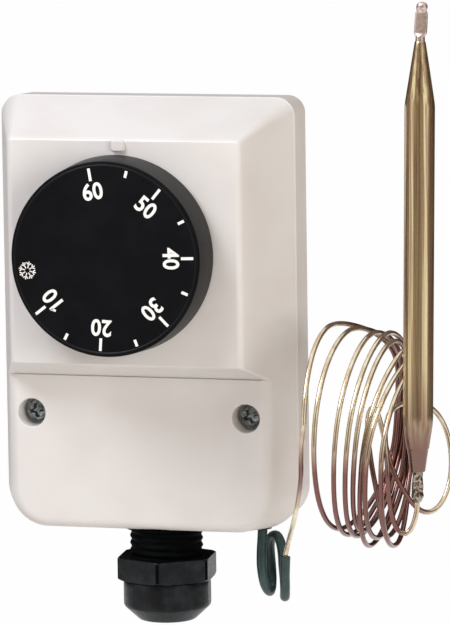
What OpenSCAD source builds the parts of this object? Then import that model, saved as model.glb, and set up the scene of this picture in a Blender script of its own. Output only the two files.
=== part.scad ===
// Capillary room and immersion thermostat in a two-part wall housing.
// A dial on the hood sets the switching point, a cable gland leaves the bottom,
// and a coiled metal capillary with a sensing bulb hangs beside the housing.
// Millimetres. The origin is the centre of the flat back, the front faces -Y, +Z is up.

/* [Housing] */
// Width of the housing at its parting line
body_w = 63; // [61:0.5:68]
// Height of the housing at its parting line
body_h = 89.4; // [87:0.2:94]
// Distance from the wall to the parting line of base and cover
base_depth = 10.4; // [10.4:0.1:11.2]
// Distance from the wall to the lower front panel
panel_depth = 20; // [20:0.1:21]
// Distance from the wall to the face of the dial hood
hood_depth = 28; // [28:0.1:30]
// Width of the flat face of the dial hood
hood_face_w = 49.2; // [46:0.2:51]
// Height above centre of the upper edge of the hood face
hood_top = 37.4; // [36.5:0.1:39]
// Height above centre of the lower edge of the hood face
hood_foot = -9; // [-9.5:0.1:-8.2]
// Drop of the sloping step below the hood face
step_drop = 3.2; // [2:0.1:4.5]
// Wall thickness of both shells
wall = 2; // [1.8:0.05:2.1]
// Radius of the two upper corners
corner_top = 4; // [3:0.1:6]
// Radius of the two lower corners
corner_low = 8; // [6:0.2:9]
// Rounding round the hood face
hood_round = 1; // [0.8:0.1:1.6]
// Rounding round the lower front panel
panel_round = 1.8; // [1.2:0.1:2.2]
// Width of the shadow groove along the parting line
parting_groove = 0.4; // [0.2:0.05:0.6]

/* [Cover screws] */
// Distance from centre line to each cover screw
screw_x = 23; // [22.5:0.1:23.4]
// Height of the cover screws, from the centre
screw_z = -20.4; // [-22:0.1:-20]
// Radius of the screw wells in the lower panel
well_r = 2.95; // [2.8:0.05:3.1]
// Depth of the wells below the panel face
well_depth = 5.4; // [4.8:0.1:5.8]
// Radius of the screw heads
screw_head_r = 2.35; // [2.1:0.05:2.5]
// Height of the screw heads
screw_head_h = 2.2; // [1.8:0.1:2.6]
// Radius of the screw shanks
screw_shank_r = 1.45; // [1.3:0.05:1.6]

/* [Dial] */
// Sideways place of the dial axis
dial_x = -1; // [-1.4:0.1:0.4]
// Height of the dial axis above the centre
dial_z = 14.1; // [13.8:0.1:15]
// Radius of the knob at its face
knob_face_r = 19.9; // [18:0.1:20.6]
// Radius of the knob at its foot
knob_foot_r = 20.4; // [19:0.1:21]
// Height of the knob
knob_h = 8.9; // [8.4:0.1:11.4]
// Gap between the hood face and the knob
knob_gap = 1.1; // [0.6:0.1:1.6]
// Wall of the knob skirt
knob_wall = 1.8; // [1.4:0.1:2.4]
// Width of the bright chamfer round the knob face
knob_chamfer = 0.5; // [0.3:0.05:0.8]
// Radius of the setting spindle
spindle_r = 3; // [2.8:0.05:3.2]
// Depth of the flat that keys the knob to the spindle
spindle_flat = 0.8; // [0.5:0.05:1]

/* [Setting mechanism] */
// Thickness of the steel bridge
bridge_t = 1.2; // [1:0.05:1.3]
// Width of the steel bridge along the height of the housing
bridge_w = 14; // [12:0.5:16]
// Half distance between the inner faces of the bridge legs
bridge_half = 16.2; // [16.2:0.1:16.6]
// Radius of the thread on the spindle
thread_r = 2.5; // [2.3:0.05:2.6]
// Radius of the diaphragm capsule
capsule_r = 13; // [11:0.2:14]
// Thickness of the diaphragm capsule
capsule_t = 3.4; // [3:0.1:3.6]
// Radius of the transfer pin
pin_r = 1.5; // [1.3:0.05:1.7]

/* [Switch] */
// Half length of the switch block
block_half = 15; // [15:0.1:15.1]
// Height of the switch block in the direction of the housing's height
block_w = 18; // [17:0.5:20]
// Thickness of the snap blade
blade_t = 0.25; // [0.2:0.01:0.3]
// Width of the snap blade
blade_w = 5.5; // [5:0.1:6]
// Radius of the contact buttons
contact_r = 1.6; // [1.4:0.05:1.8]
// Thickness of the terminal strips
strip_t = 0.6; // [0.5:0.05:0.6]
// Radius of the terminal screw heads
terminal_head_r = 2.3; // [2:0.05:2.4]

/* [Cable gland] */
// Sideways place of the gland
gland_x = 3; // [0:0.1:4]
// Distance from the wall to the gland axis
gland_depth = 11; // [11:0.05:11.2]
// Radius of the gland thread
gland_thread_r = 7.6; // [7.4:0.05:7.6]
// Length of thread that shows below the housing
gland_neck = 6.1; // [5:0.1:9]
// Size across the flats of the gland hexagon
gland_flats = 19; // [18:0.1:19]
// Height of the gland hexagon
gland_hex_h = 4.8; // [4:0.1:6]
// Radius of the domed gland nut
gland_nut_r = 9.1; // [8.8:0.05:9.3]
// Height of the domed gland nut
gland_nut_h = 8.6; // [8.5:0.1:11]
// Radius of the hole through the gland seal
seal_hole_r = 3.25; // [2.5:0.05:3.6]

/* [Capillary and bulb] */
// Radius of the capillary tube
capillary_r = 0.52; // [0.45:0.01:0.6]
// Radius of the plastic sleeve
sleeve_r = 1.02; // [0.9:0.01:1.05]
// Radius of the sensing bulb
bulb_r = 3; // [2.8:0.05:3.1]
// Length of the straight part of the bulb
bulb_l = 68; // [60:1:72]
// Length of the long cone at the filling end of the bulb
bulb_cone_l = 12; // [8:0.5:14]
// Radius of the middle of the coil's turns
coil_r = 22.2; // [20:0.1:22.4]
// Width of the coil along its axis
coil_w = 18; // [15:0.5:18.2]

/* [Hidden] */

round_fn = 48;
hull_fn = 48;
running_gap = 0.05;
touch_gap = 0.1;
eps = 0.01;

// Shell values that follow from the sizes above
floor_t = wall;
draft = 0.4;
back_round = 0.5;
inner_corner = 1;
lip_h = 1;
lip_t = 1.2;
lip_gap = 0.55;
boss_r = 3.5;
well_wall = 1.3;
well_floor = 1.4;
fixing_spacing = 68;
fixing_r = 2.2;
fixing_mid = 4;
well_seat = panel_depth - well_depth;
boss_top = well_seat - well_floor;
index_w = 3.2;
index_h = 2.5;
index_rise = 0.9;
index_gap = 0.3;
top_edge = 0.35;
pad_r = 8.5;
pad_h = 0.2;
spindle_hole_r = 6;
earth_x = -15;
earth_z = -30;
earth_seat = 6;
bush_hole_r = 1.6;
side_slope = (body_w - hood_face_w) / 2 / (hood_depth - base_depth);
top_slope = (body_h / 2 - hood_top) / (hood_depth - base_depth);
step_slope = step_drop / (hood_depth - panel_depth);

// Stack of the switch, as distances from the wall
block_top = 9;
lid_t = 1.5;
block_floor = 2.8;
block_wall = 1.5;
blade_base = 6.15;
blade_top = blade_base + blade_t;
blade_pivot = -8.7;
blade_tip = 10;
contact_x = 7.5;
button_h = 0.6;
pin_travel = 0.5;
contact_drop = pin_travel * (contact_x + contact_r - blade_pivot) / -blade_pivot;
common_top = 5.9;
break_base = blade_top + button_h + 0.08 + button_h;
make_top = blade_base - button_h - contact_drop - 0.12 - button_h;
strip_w = 4.4;
common_x = -11.4;
break_x = contact_x;
make_x = 0.6;
tab_end = -15.5;
apron_end = -17.5;
tab_screw_z = -13;
tab_screw_r = 1.25;
rib_h = 9;

// Stack of the setting mechanism, as distances from the wall
knob_foot = hood_depth + knob_gap;
knob_face = knob_foot + knob_h;
bridge_top = hood_depth - wall - 1.8;
bush_r = 5.5;
bush_rim = 1.2;
bush_body_r = 4;
bush_back = 0.8;
bush_top = bridge_top + bush_rim;
bush_end = bridge_top - bridge_t - bush_back;
ring_t = 0.8;
ring_r = 4.75;
flange_r = 4.5;
flange_t = 1;
flange_top = bush_end - touch_gap;
thread_end = flange_top - flange_t - 4.9;
nut_t = 2.5;
nut_top = flange_top - 2.6;
nut_skirt_r = 7;
nut_skirt_inner = 4;
capsule_front = thread_end - 1;
capsule_back = capsule_front - capsule_t;
pin_tip = blade_top + 0.9;
foot_l = 7;
foot_seat = floor_t + bridge_t;
bridge_screw_x = bridge_half + bridge_t + 3.6;
bridge_screw_r = 1.45;
hub_r = 5;
hub_foot = hood_depth + 0.6;
spindle_end = knob_face - 2.6;

// Gland stack, as heights
gland_top = -body_h / 2 + 6.7;
hex_top = -body_h / 2 - gland_neck;
hex_end = hex_top - gland_hex_h;
nut_start = hex_end - 0.1;
nut_end = nut_start - gland_nut_h;
gland_bore = 5;
seal_r = 6;
barrel_l = 6;
hex_turn = 36;
hex_cut_r = gland_flats / 2 / cos(30) - 0.3;

// Capillary route points, chosen by hand along the tube
sleeve_exit = [22.5, -6.5, -44.3];
sleeve_route = [
    [22.5, -6.5, -44.3], [22.5, -6.6, -45.8], [22.6, -7.4, -47.8], [22.8, -8.7, -50],
    [23, -9.5, -52.6], [23.3, -9.5, -55.2], [23.6, -8.6, -57.3], [23.9, -6.8, -58.6],
    [24, -4.8, -58.2], [24, -3.2, -56.5], [23.8, -2.5, -54], [23.5, -2.4, -51.4],
    [23.5, -2.8, -49.2], [24, -3.7, -47.6], [25, -4.7, -47.2], [25.9, -5.2, -48.4],
    [26.3, -5.2, -50.6], [26.3, -4.7, -53.2], [26.4, -4.3, -55.8], [26.6, -4.6, -58],
    [27, -6, -59.5], [27.4, -7.7, -59.3], [27.8, -8.8, -57.6], [27.9, -9.2, -55],
    [28, -9.3, -52.8], [28.1, -9.3, -50.7]];
lead_route = [
    [28.1, -9.3, -50.7], [28.9, -10.7, -48.5], [29.9, -12.8, -46.4], [31.1, -15.4, -44.3],
    [32.4, -18.5, -42.1], [33.8, -21.9, -39.6], [35.2, -25.4, -37.1], [36.5, -28.9, -34.5],
    [37.8, -32.5, -31.8], [39, -36.1, -29], [40, -39.6, -26], [40.9, -42.6, -22.5],
    [41.8, -44.2, -18.6], [42.3, -44.4, -15.2]];
tail_route = [
    [59.2, -45, -26], [59.2, -44.8, -28.6], [59.3, -44.4, -31.2], [59.5, -44, -33.8],
    [59.9, -43.6, -36.2], [60.8, -43.2, -38.2], [62.1, -42.8, -38.9], [63.3, -42.4, -37.9],
    [64, -42.2, -36], [64.4, -42, -34], [64.4, -42, -32.6]];
inner_route = [
    [-1, -13.5, 0], [-1, -13.5, -3.2], [0.5, -13.6, -7], [4, -13.6, -10.5],
    [9, -13.2, -12.5], [14, -12.4, -14.5], [18, -11.2, -18], [19.4, -9.8, -23],
    [19.2, -8.4, -28], [19.6, -7.4, -33], [21, -6.8, -37.5], [22.5, -6.5, -40.5],
    [22.5, -6.5, -43]];
coil_centre = [42, -23.1, -22.7];
coil_wire_depth = 3.6;
bulb_foot = [64.7, -42, -20.8];
bulb_head = [65.8, -42, 49.6];
bulb_end = -5.6;
bulb_end_r = 1.5;
bulb_step = -0.6;
bulb_step_r = 2.25;
bulb_taper = 4;
bulb_tilt = atan((bulb_head[0] - bulb_foot[0]) / (bulb_head[2] - bulb_foot[2]));

ivory = [0.87, 0.84, 0.8];
black = [0.1, 0.1, 0.11];
steel = [0.62, 0.62, 0.64];
zinc = [0.42, 0.42, 0.4];
brass = [0.78, 0.62, 0.32];
phenolic = [0.3, 0.19, 0.13];
silver = [0.85, 0.85, 0.84];
copper = [0.66, 0.5, 0.26];
teal = [0.24, 0.33, 0.32];

// Turns a shape drawn with x to the right, y up and z out of the wall into the part's frame
module off_wall() rotate([90, 0, 0]) children();

// The same, with its own origin on the dial axis
module on_dial() off_wall() translate([dial_x, dial_z, 0]) children();

// A straight round bar from depth z0 to depth z1
module bar(r, z0, z1, fn = round_fn) translate([0, 0, z0]) cylinder(r = r, h = z1 - z0, $fn = fn);

// A block given by its two corners
module block(a, b) translate(a) cube(b - a);

// Half width, upper and lower reach of the housing at a distance from the wall
function half_w(d) = body_w / 2 - max(0, d - base_depth) * side_slope;
function reach_up(d) = body_h / 2 - max(0, d - base_depth) * top_slope;
function reach_down(d) = -body_h / 2 + max(0, d - base_depth) / (panel_depth - base_depth) * draft;
function step_down(d) = hood_foot - (hood_depth - d) * step_slope;

// Points of one rounded corner, as a quarter arc that starts at angle a
function arc(cx, cy, r, a) =
    [for (i = [0:hull_fn / 4]) [cx + r * cos(a + i * 360 / hull_fn), cy + r * sin(a + i * 360 / hull_fn)]];

// Outline with its own upper and lower corner radii
function plate(w, up, down, rt, rb) = concat(
    arc(w - rt, up - rt, rt, 0), arc(-w + rt, up - rt, rt, 90),
    arc(-w + rb, down + rb, rb, 180), arc(w - rb, down + rb, rb, 270));

// One thin slice of a loft at depth d
module slice(d, points) translate([0, 0, d]) linear_extrude(eps) polygon(points);

// Slice of the whole housing outline, drawn in by a margin
module body_slice(d, margin) {
    rt = max(inner_corner, corner_top - margin);
    rb = max(inner_corner, corner_low - margin);
    slice(d, plate(half_w(d) - margin, reach_up(d) - margin, reach_down(d) + margin, rt, rb));
}

// Slice of the dial hood, drawn in by a margin and by the rounding of its front edge,
// which stays crisp along the top
module hood_slice(d, margin, edge = 0) {
    share = (d - base_depth) / (hood_depth - base_depth);
    inset = margin + edge;
    rt = max(0.6, corner_top * (1 - share) + share - inset);
    rb = max(0.6, 1.6 - inset);
    slice(d, plate(half_w(d) - inset, reach_up(d) - margin - edge * top_edge, step_down(d) + inset, rt, rb));
}

// Loft of the base tray, from the wall to the parting line
module base_loft(margin, from, to) hull() {
    body_slice(from, margin + draft + back_round);
    body_slice(from + back_round, margin + draft);
    body_slice(to - parting_groove, margin);
    body_slice(to - eps, margin + parting_groove);
}

// Loft of the cover below the hood, with a rounded front edge
module panel_loft(margin, top) hull() {
    body_slice(base_depth, margin + (margin > 0 ? 0 : parting_groove));
    body_slice(base_depth + parting_groove, margin);
    for (a = [0:22.5:90])
        body_slice(top - eps - panel_round * (1 - sin(a)), margin + panel_round * (1 - cos(a)));
}

// Loft of the dial hood, with a rounded front edge
module hood_loft(margin, top) hull() {
    hood_slice(base_depth + parting_groove, margin);
    for (a = [0:22.5:90])
        hood_slice(top - eps - hood_round * (1 - sin(a)), margin, hood_round * (1 - cos(a)));
}

// Pad round the gland hole, on the underside of both shells
module gland_pad(from, to) intersection() {
    translate([gland_x, -body_h / 2 - pad_h, gland_depth]) rotate([-90, 0, 0])
        cylinder(r = pad_r, h = pad_h + wall, $fn = round_fn);
    block([-body_w, -body_h, from], [body_w, body_h, to]);
}

// Hole for the gland thread
module gland_hole() translate([gland_x, hex_top, gland_depth]) rotate([-90, 0, 0])
    cylinder(r = gland_thread_r + running_gap, h = gland_top + touch_gap - hex_top, $fn = round_fn);

// Rear shell: a tray with a lip, bosses for the cover screws and two fixing holes
module base() color(ivory) off_wall() difference() {
    union() {
        difference() {
            base_loft(0, 0, base_depth);
            base_tray();
        }
        difference() {
            lip_ring(wall + lip_gap, base_depth - 1, base_depth + lip_h);
            lip_ring(wall + lip_gap + lip_t, base_depth - 2, base_depth + lip_h + 1);
            gland_hole();
        }
        lip_foot();
        for (side = [-1, 1]) translate([side * screw_x, screw_z, 0]) bar(boss_r, floor_t - eps, boss_top);
        translate([earth_x, earth_z, 0]) bar(boss_r, floor_t - eps, earth_seat);
        gland_pad(0.2, base_depth - parting_groove);
    }
    gland_hole();
    for (side = [-1, 1]) {
        translate([side * screw_x, screw_z, 0]) bar(screw_shank_r + running_gap, floor_t + 1, boss_top + 1);
        translate([0, fixing_mid + side * fixing_spacing / 2, 0]) bar(fixing_r, -1, floor_t + 1);
        translate([dial_x + side * bridge_screw_x, dial_z, 0]) bar(bridge_screw_r + running_gap, 0.6, floor_t + 1);
    }
    translate([earth_x, earth_z, 0]) bar(tab_screw_r + running_gap, floor_t, earth_seat + 1);
    capillary_hole();
}

// Space inside the rear shell
module base_tray() {
    rt = corner_top - wall;
    rb = corner_low - wall;
    translate([0, 0, floor_t]) linear_extrude(base_depth)
        polygon(plate(body_w / 2 - wall, body_h / 2 - wall, -body_h / 2 + wall, max(inner_corner, rt), max(inner_corner, rb)));
}

// Upright band that stands inside the cover's wall
module lip_ring(margin, from, to) translate([0, 0, from]) linear_extrude(to - from)
    polygon(plate(body_w / 2 - margin, body_h / 2 - margin, -body_h / 2 + margin,
        max(inner_corner, corner_top - margin), max(inner_corner, corner_low - margin)));

// Ledge that joins the lip to the tray wall
module lip_foot() difference() {
    lip_ring(wall - eps, base_depth - 2, base_depth - 1);
    lip_ring(wall + lip_gap + lip_t, base_depth - 3, base_depth);
    gland_hole();
}

// Round hole through the bottom of the base for the capillary's sleeve
module capillary_hole() translate([sleeve_exit[0], -body_h / 2 - 1, -sleeve_exit[1]]) rotate([-90, 0, 0])
    cylinder(r = bush_hole_r, h = wall + 4, $fn = round_fn);

// Front shell: a sloping housing with the dial hood, screw wells and an index mark
module cover() color(ivory) off_wall() difference() {
    union() {
        difference() {
            union() {
                panel_loft(0, panel_depth);
                hood_loft(0, hood_depth);
                gland_pad(base_depth + parting_groove, gland_depth + pad_r);
            }
            difference() {
                union() {
                    panel_loft(wall, panel_depth - wall);
                    hood_loft(wall, hood_depth - wall);
                }
                for (side = [-1, 1]) translate([side * screw_x, screw_z, 0])
                    bar(well_r + well_wall, boss_top + touch_gap, panel_depth);
            }
        }
        index_mark();
    }
    for (side = [-1, 1]) translate([side * screw_x, screw_z, 0]) {
        bar(well_r, well_seat, panel_depth + 1);
        bar(screw_shank_r + 0.15, boss_top - 1, panel_depth);
    }
    translate([dial_x, dial_z, 0]) bar(spindle_hole_r, hood_depth - wall - 1, hood_depth + 1);
    gland_hole();
    block([-body_w, -body_h, -1], [body_w, body_h, base_depth]);
}

// Raised mark above the dial that the scale is read against
module index_mark() translate([dial_x - index_w / 2, hood_top - index_gap - index_h, hood_depth - 1])
    linear_extrude(index_rise + 1) square([index_w, index_h]);

// Pan head screw with a cross recess, head seated at depth seat, shank down to depth tip
module pan_screw(head_r, head_h, shank_r, seat, tip) difference() {
    union() {
        translate([0, 0, seat]) rotate_extrude($fn = round_fn) polygon([
            [0, 0], [head_r, 0], [head_r, head_h * 0.5], [head_r * 0.86, head_h * 0.84],
            [head_r * 0.55, head_h], [0, head_h]]);
        bar(shank_r, tip, seat + eps);
    }
    for (a = [0, 90]) rotate(a)
        block([-head_r * 0.62, -head_r * 0.13, seat + head_h * 0.4], [head_r * 0.62, head_r * 0.13, seat + head_h + 1]);
}

module cover_screw(side) color(zinc) off_wall() translate([side * screw_x, screw_z, 0])
    rotate(25) pan_screw(screw_head_r, screw_head_h, screw_shank_r, well_seat, floor_t + 2);

module cover_screw_left() cover_screw(-1);
module cover_screw_right() cover_screw(1);

// Turned D section used for the spindle end and for the socket in the knob
module d_bar(r, flat, z0, z1) difference() {
    bar(r, z0, z1);
    block([-r - 1, r - flat, z0 - 1], [r + 1, r + 1, z1 + 1]);
}

// Knob: a tapered cup with a chamfered face, a hub with a D socket and eight stiffening ribs
module dial_knob() color(black) on_dial() difference() {
    union() {
        rotate_extrude($fn = 96) polygon([
            [0, knob_face - 2.2], [knob_face_r - knob_wall, knob_face - 2.2],
            [knob_foot_r - knob_wall, knob_foot], [knob_foot_r - 0.3, knob_foot],
            [knob_foot_r, knob_foot + 0.3], [knob_face_r, knob_face - knob_chamfer],
            [knob_face_r - knob_chamfer, knob_face], [0, knob_face]]);
        bar(hub_r, hub_foot, knob_face - 1);
        for (i = [0:7]) rotate(i * 45 + 22.5)
            block([hub_r - 1, -0.6, knob_foot + 3], [knob_face_r - knob_wall + 0.2, 0.6, knob_face - 1]);
    }
    d_bar(spindle_r + 0.04, spindle_flat, hub_foot - 1, spindle_end + 0.2);
}

// Spindle: D end, running shaft, retaining flange and thread
module spindle() color(steel) on_dial() difference() {
    union() {
        d_bar(spindle_r, spindle_flat, hub_foot - 1, spindle_end);
        bar(spindle_r, flange_top - eps, hub_foot - touch_gap);
        bar(flange_r, flange_top - flange_t, flange_top);
        bar(thread_r, thread_end, flange_top - flange_t + eps);
    }
    difference() {
        bar(spindle_r + 1, bush_top + touch_gap, bush_top + touch_gap + ring_t + 0.1);
        bar(spindle_r - 0.4, bush_top, bush_top + 2);
    }
}

// Open spring ring in the spindle's groove, which keeps it in its bush
module retaining_ring() color(steel) on_dial() difference() {
    bar(ring_r, bush_top + touch_gap + running_gap, bush_top + touch_gap + running_gap + ring_t);
    bar(spindle_r - 0.35, bush_top, bush_top + 2);
    block([-1.6, 0, bush_top], [1.6, ring_r + 1, bush_top + 2]);
}

// Profile of the bridge: a strap bent to a U with two outward feet
module bridge() color(steel) on_dial() difference() {
    translate([0, bridge_w / 2, 0]) rotate([90, 0, 0]) linear_extrude(bridge_w) polygon([
        [-bridge_half - bridge_t, bridge_top - 1], [-bridge_half - bridge_t + 1, bridge_top],
        [bridge_half + bridge_t - 1, bridge_top], [bridge_half + bridge_t, bridge_top - 1],
        [bridge_half + bridge_t, foot_seat + bridge_t], [bridge_half + bridge_t + foot_l, foot_seat + bridge_t],
        [bridge_half + bridge_t + foot_l, foot_seat], [bridge_half, foot_seat],
        [bridge_half, bridge_top - bridge_t], [-bridge_half, bridge_top - bridge_t],
        [-bridge_half, foot_seat], [-bridge_half - bridge_t - foot_l, foot_seat],
        [-bridge_half - bridge_t - foot_l, foot_seat + bridge_t], [-bridge_half - bridge_t, foot_seat + bridge_t]]);
    bar(bush_body_r + 0.02, bridge_top - bridge_t - 1, bridge_top + 1);
    for (side = [-1, 1]) translate([side * bridge_screw_x, 0, 0]) bar(bridge_screw_r + 0.15, foot_seat - 1, foot_seat + bridge_t + 1);
    for (side = [-1, 1]) translate([side * bridge_half * 0.62, 0, 0]) bar(2, bridge_top - bridge_t - 1, bridge_top + 1);
}

// Brass bearing bush riveted into the bridge
module spindle_bush() color(brass) on_dial() rotate_extrude($fn = round_fn) polygon([
    [spindle_r + running_gap, bush_end], [bush_body_r + 0.8, bush_end],
    [bush_body_r + 0.8, bridge_top - bridge_t], [bush_body_r, bridge_top - bridge_t],
    [bush_body_r, bridge_top], [bush_r, bridge_top], [bush_r, bush_top], [spindle_r + running_gap, bush_top]]);

module bridge_screws() color(steel) on_dial() for (side = [-1, 1]) translate([side * bridge_screw_x, 0, 0])
    pan_screw(2.7, 1.9, bridge_screw_r, foot_seat + bridge_t, 0.8);

// Brass nut that the thread drives along the bridge legs, with a skirt down to the capsule
module setting_nut() color(brass) on_dial() difference() {
    union() {
        block([-bridge_half + 0.3, -4.5, nut_top - nut_t], [bridge_half - 0.3, 4.5, nut_top]);
        bar(nut_skirt_r, capsule_front, nut_top - nut_t + eps);
    }
    bar(thread_r + running_gap, capsule_front - 1, nut_top + 1);
    bar(nut_skirt_inner, capsule_front - 1, nut_top - nut_t);
}

// Diaphragm capsule: two dished discs joined at a thin rim, with a tube stub at its lower edge
module diaphragm() color(steel) on_dial() {
    mid = (capsule_front + capsule_back) / 2;
    rotate_extrude($fn = 72) polygon([
        [0, capsule_back], [2, capsule_back], [2.6, capsule_back + 0.3], [5, capsule_back + 0.3],
        [6, capsule_back + 0.7], [8, capsule_back + 0.35], [9.2, capsule_back + 0.75], [capsule_r - 1.4, mid - 0.35],
        [capsule_r, mid - 0.35], [capsule_r, mid + 0.35], [capsule_r - 1.4, mid + 0.35],
        [9.2, capsule_front - 0.6], [nut_skirt_r + 0.4, capsule_front - 0.1], [nut_skirt_r, capsule_front], [0, capsule_front]]);
    translate([0, -capsule_r + 2.2, mid]) rotate([90, 0, 0]) cylinder(r = 1.1, h = 3.1, $fn = round_fn);
}

// Ceramic pin that carries the capsule's movement to the blade
module transfer_pin() color(silver) on_dial() bar(pin_r, pin_tip, capsule_back - touch_gap);

// Insulating block: an open tray for the blade, ears under the bridge feet, an apron for the terminals
module switch_block() color(phenolic) on_dial() difference() {
    union() {
        block([-block_half, -block_w / 2, floor_t], [block_half, block_w / 2, block_top]);
        for (side = [0, 1]) mirror([side, 0, 0])
            block([block_half - 1, -bridge_w / 2, floor_t], [bridge_half + bridge_t + foot_l + 0.3, bridge_w / 2, foot_seat]);
        block([-block_half, apron_end, floor_t], [block_half, -block_w / 2 + eps, block_floor + 0.2]);
        tab_pad(common_x, common_top - strip_t);
        tab_pad(make_x, make_top - strip_t);
        tab_pad(break_x + 0.6, break_base);
        for (x = [(common_x + make_x) / 2, (make_x + break_x) / 2 + 0.5])
            block([x - 0.5, apron_end, floor_t], [x + 0.5, -block_w / 2 + eps, rib_h]);
    }
    difference() {
        block([-block_half + block_wall, -block_w / 2 + 3.5, block_floor], [block_half - block_wall, block_w / 2 - 3.5, block_top + 1]);
        block([common_x - strip_w / 2 - 0.4, -block_w, block_floor - 1], [blade_pivot - 0.8, 3.6, common_top - strip_t]);
    }
    strip_slot(common_x, common_top - strip_t, common_top, 4);
    strip_slot(make_x, make_top - strip_t, make_top, -1);
    block([break_x - strip_w / 2 - 0.1, -block_w, break_base], [break_x + strip_w / 2 + 0.1, block_w / 2 - 1.5, block_top + 1]);
    for (side = [-1, 1]) translate([side * bridge_screw_x, 0, 0]) bar(bridge_screw_r + 0.15, floor_t - 1, foot_seat + 1);
    for (x = [common_x, make_x, break_x]) translate([x, tab_screw_z, 0]) bar(tab_screw_r + running_gap, floor_t + 0.5, block_top + 1);
}

// Raised seat under one terminal tab
module tab_pad(x, seat) block([x - 3, apron_end + 0.8, floor_t], [x + 3, -block_w / 2 + eps, seat]);

// Slot through the block's lower wall, open towards the front, for a terminal strip
module strip_slot(x, from, to, upper) block([x - strip_w / 2 - 0.1, -block_w, from], [x + strip_w / 2 + 0.1, upper, block_top + 1]);

// Lid of the switch block, with the guide bore of the transfer pin
module switch_lid() color(phenolic) on_dial() difference() {
    block([-block_half, -block_w / 2, block_top], [block_half, block_w / 2, block_top + lid_t]);
    bar(pin_r + running_gap, block_top - 1, block_top + lid_t + 1);
}

// Snap blade: a spring strip on a knife edge, with a cut-out tongue
module snap_blade() color(brass) on_dial() difference() {
    translate([0, 0, blade_base]) linear_extrude(blade_t) difference() {
        polygon([[blade_pivot, -blade_w / 2], [blade_tip - 1, -blade_w / 2], [blade_tip, -blade_w / 2 + 1],
            [blade_tip, blade_w / 2 - 1], [blade_tip - 1, blade_w / 2], [blade_pivot, blade_w / 2]]);
        translate([2.2, -blade_w / 2 + 1]) square([2.6, blade_w - 2]);
    }
    translate([contact_x, 0, 0]) bar(0.85, blade_base - 1, blade_top + 1);
}

// Silver contact riveted through the blade
module moving_contact() color(silver) on_dial() translate([contact_x, 0, 0]) {
    bar(0.8, blade_base - eps, blade_top + eps);
    bar(contact_r, blade_top, blade_top + button_h);
    bar(contact_r, blade_base - button_h, blade_base);
}

module front_contact() color(silver) on_dial() translate([contact_x, 0, 0]) bar(contact_r, break_base - button_h, break_base);

module rear_contact() color(silver) on_dial() translate([contact_x, 0, 0]) bar(contact_r, make_top, make_top + button_h);

// Terminal strips. The common one carries the knife edge that the blade rocks on
module terminal_common() color(brass) on_dial() difference() {
    union() {
        block([common_x - strip_w / 2, tab_end, common_top - strip_t], [common_x + strip_w / 2, 3.5, common_top]);
        block([blade_pivot - touch_gap - 0.5, -blade_w / 2, common_top - strip_t], [blade_pivot - touch_gap, blade_w / 2, blade_top + 0.4]);
    }
    translate([common_x, tab_screw_z, 0]) bar(tab_screw_r + running_gap, 0, block_top);
}

module terminal_break() color(brass) on_dial() difference() {
    block([break_x - strip_w / 2, tab_end, break_base], [break_x + strip_w / 2, block_w / 2 - 1.8, break_base + strip_t]);
    translate([break_x, tab_screw_z, 0]) bar(tab_screw_r + running_gap, 0, block_top);
}

module terminal_make() color(brass) on_dial() difference() {
    union() {
        block([make_x - strip_w / 2, tab_end, make_top - strip_t], [make_x + strip_w / 2, -1.2, make_top]);
        block([make_x - strip_w / 2, -2.6, make_top - strip_t], [contact_x + 2.2, 2.2, make_top]);
    }
    translate([make_x, tab_screw_z, 0]) bar(tab_screw_r + running_gap, 0, block_top);
}

module terminal_screws() color(steel) on_dial() {
    translate([common_x, tab_screw_z, 0]) pan_screw(terminal_head_r, 1.8, tab_screw_r, common_top, floor_t + 0.7);
    translate([make_x, tab_screw_z, 0]) pan_screw(terminal_head_r, 1.8, tab_screw_r, make_top, floor_t + 0.7);
    translate([break_x, tab_screw_z, 0]) pan_screw(terminal_head_r, 1.8, tab_screw_r, break_base + strip_t, floor_t + 0.7);
}

// Earth connection on its own boss
module earth_plate() color(brass) off_wall() translate([earth_x, earth_z, 0]) difference() {
    block([-4, -4, earth_seat], [4, 6, earth_seat + 0.8]);
    bar(tab_screw_r + running_gap, 0, block_top);
}

module earth_screw() color(zinc) off_wall() translate([earth_x, earth_z, 0])
    pan_screw(2.6, 1.9, tab_screw_r, earth_seat + 0.8, floor_t + 0.4);

// Places a turned gland piece, drawn with its axis upright
module on_gland() translate([gland_x, -gland_depth, 0]) children();

// Gland body: threaded neck through the wall, hexagon, and a lower barrel inside the nut
module gland_body() color(black) on_gland() difference() {
    union() {
        bar(gland_thread_r, hex_top - eps, gland_top);
        intersection() {
            rotate(hex_turn) bar(gland_flats / 2 / cos(30), hex_end, hex_top, 6);
            rotate_extrude($fn = 96) polygon([
                [0, hex_end], [hex_cut_r - 0.8, hex_end], [hex_cut_r, hex_end + 0.5],
                [hex_cut_r, hex_top - 0.5], [hex_cut_r - 0.8, hex_top], [0, hex_top]]);
        }
        bar(seal_r + 1.1, hex_end - barrel_l, hex_end + eps);
    }
    bar(gland_bore, hex_end - barrel_l - 1, gland_top + 1);
    bar(seal_r + running_gap, hex_end - barrel_l - 1, hex_end - 0.8);
}

// Rubber seal that closes on the cable
module gland_seal() color(black) on_gland() rotate_extrude($fn = round_fn) polygon([
    [seal_hole_r, hex_end - barrel_l - 0.4], [seal_r - 1.4, hex_end - barrel_l - 0.4], [seal_r, hex_end - barrel_l + 1],
    [seal_r, hex_end - 0.9], [seal_hole_r, hex_end - 0.9]]);

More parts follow.
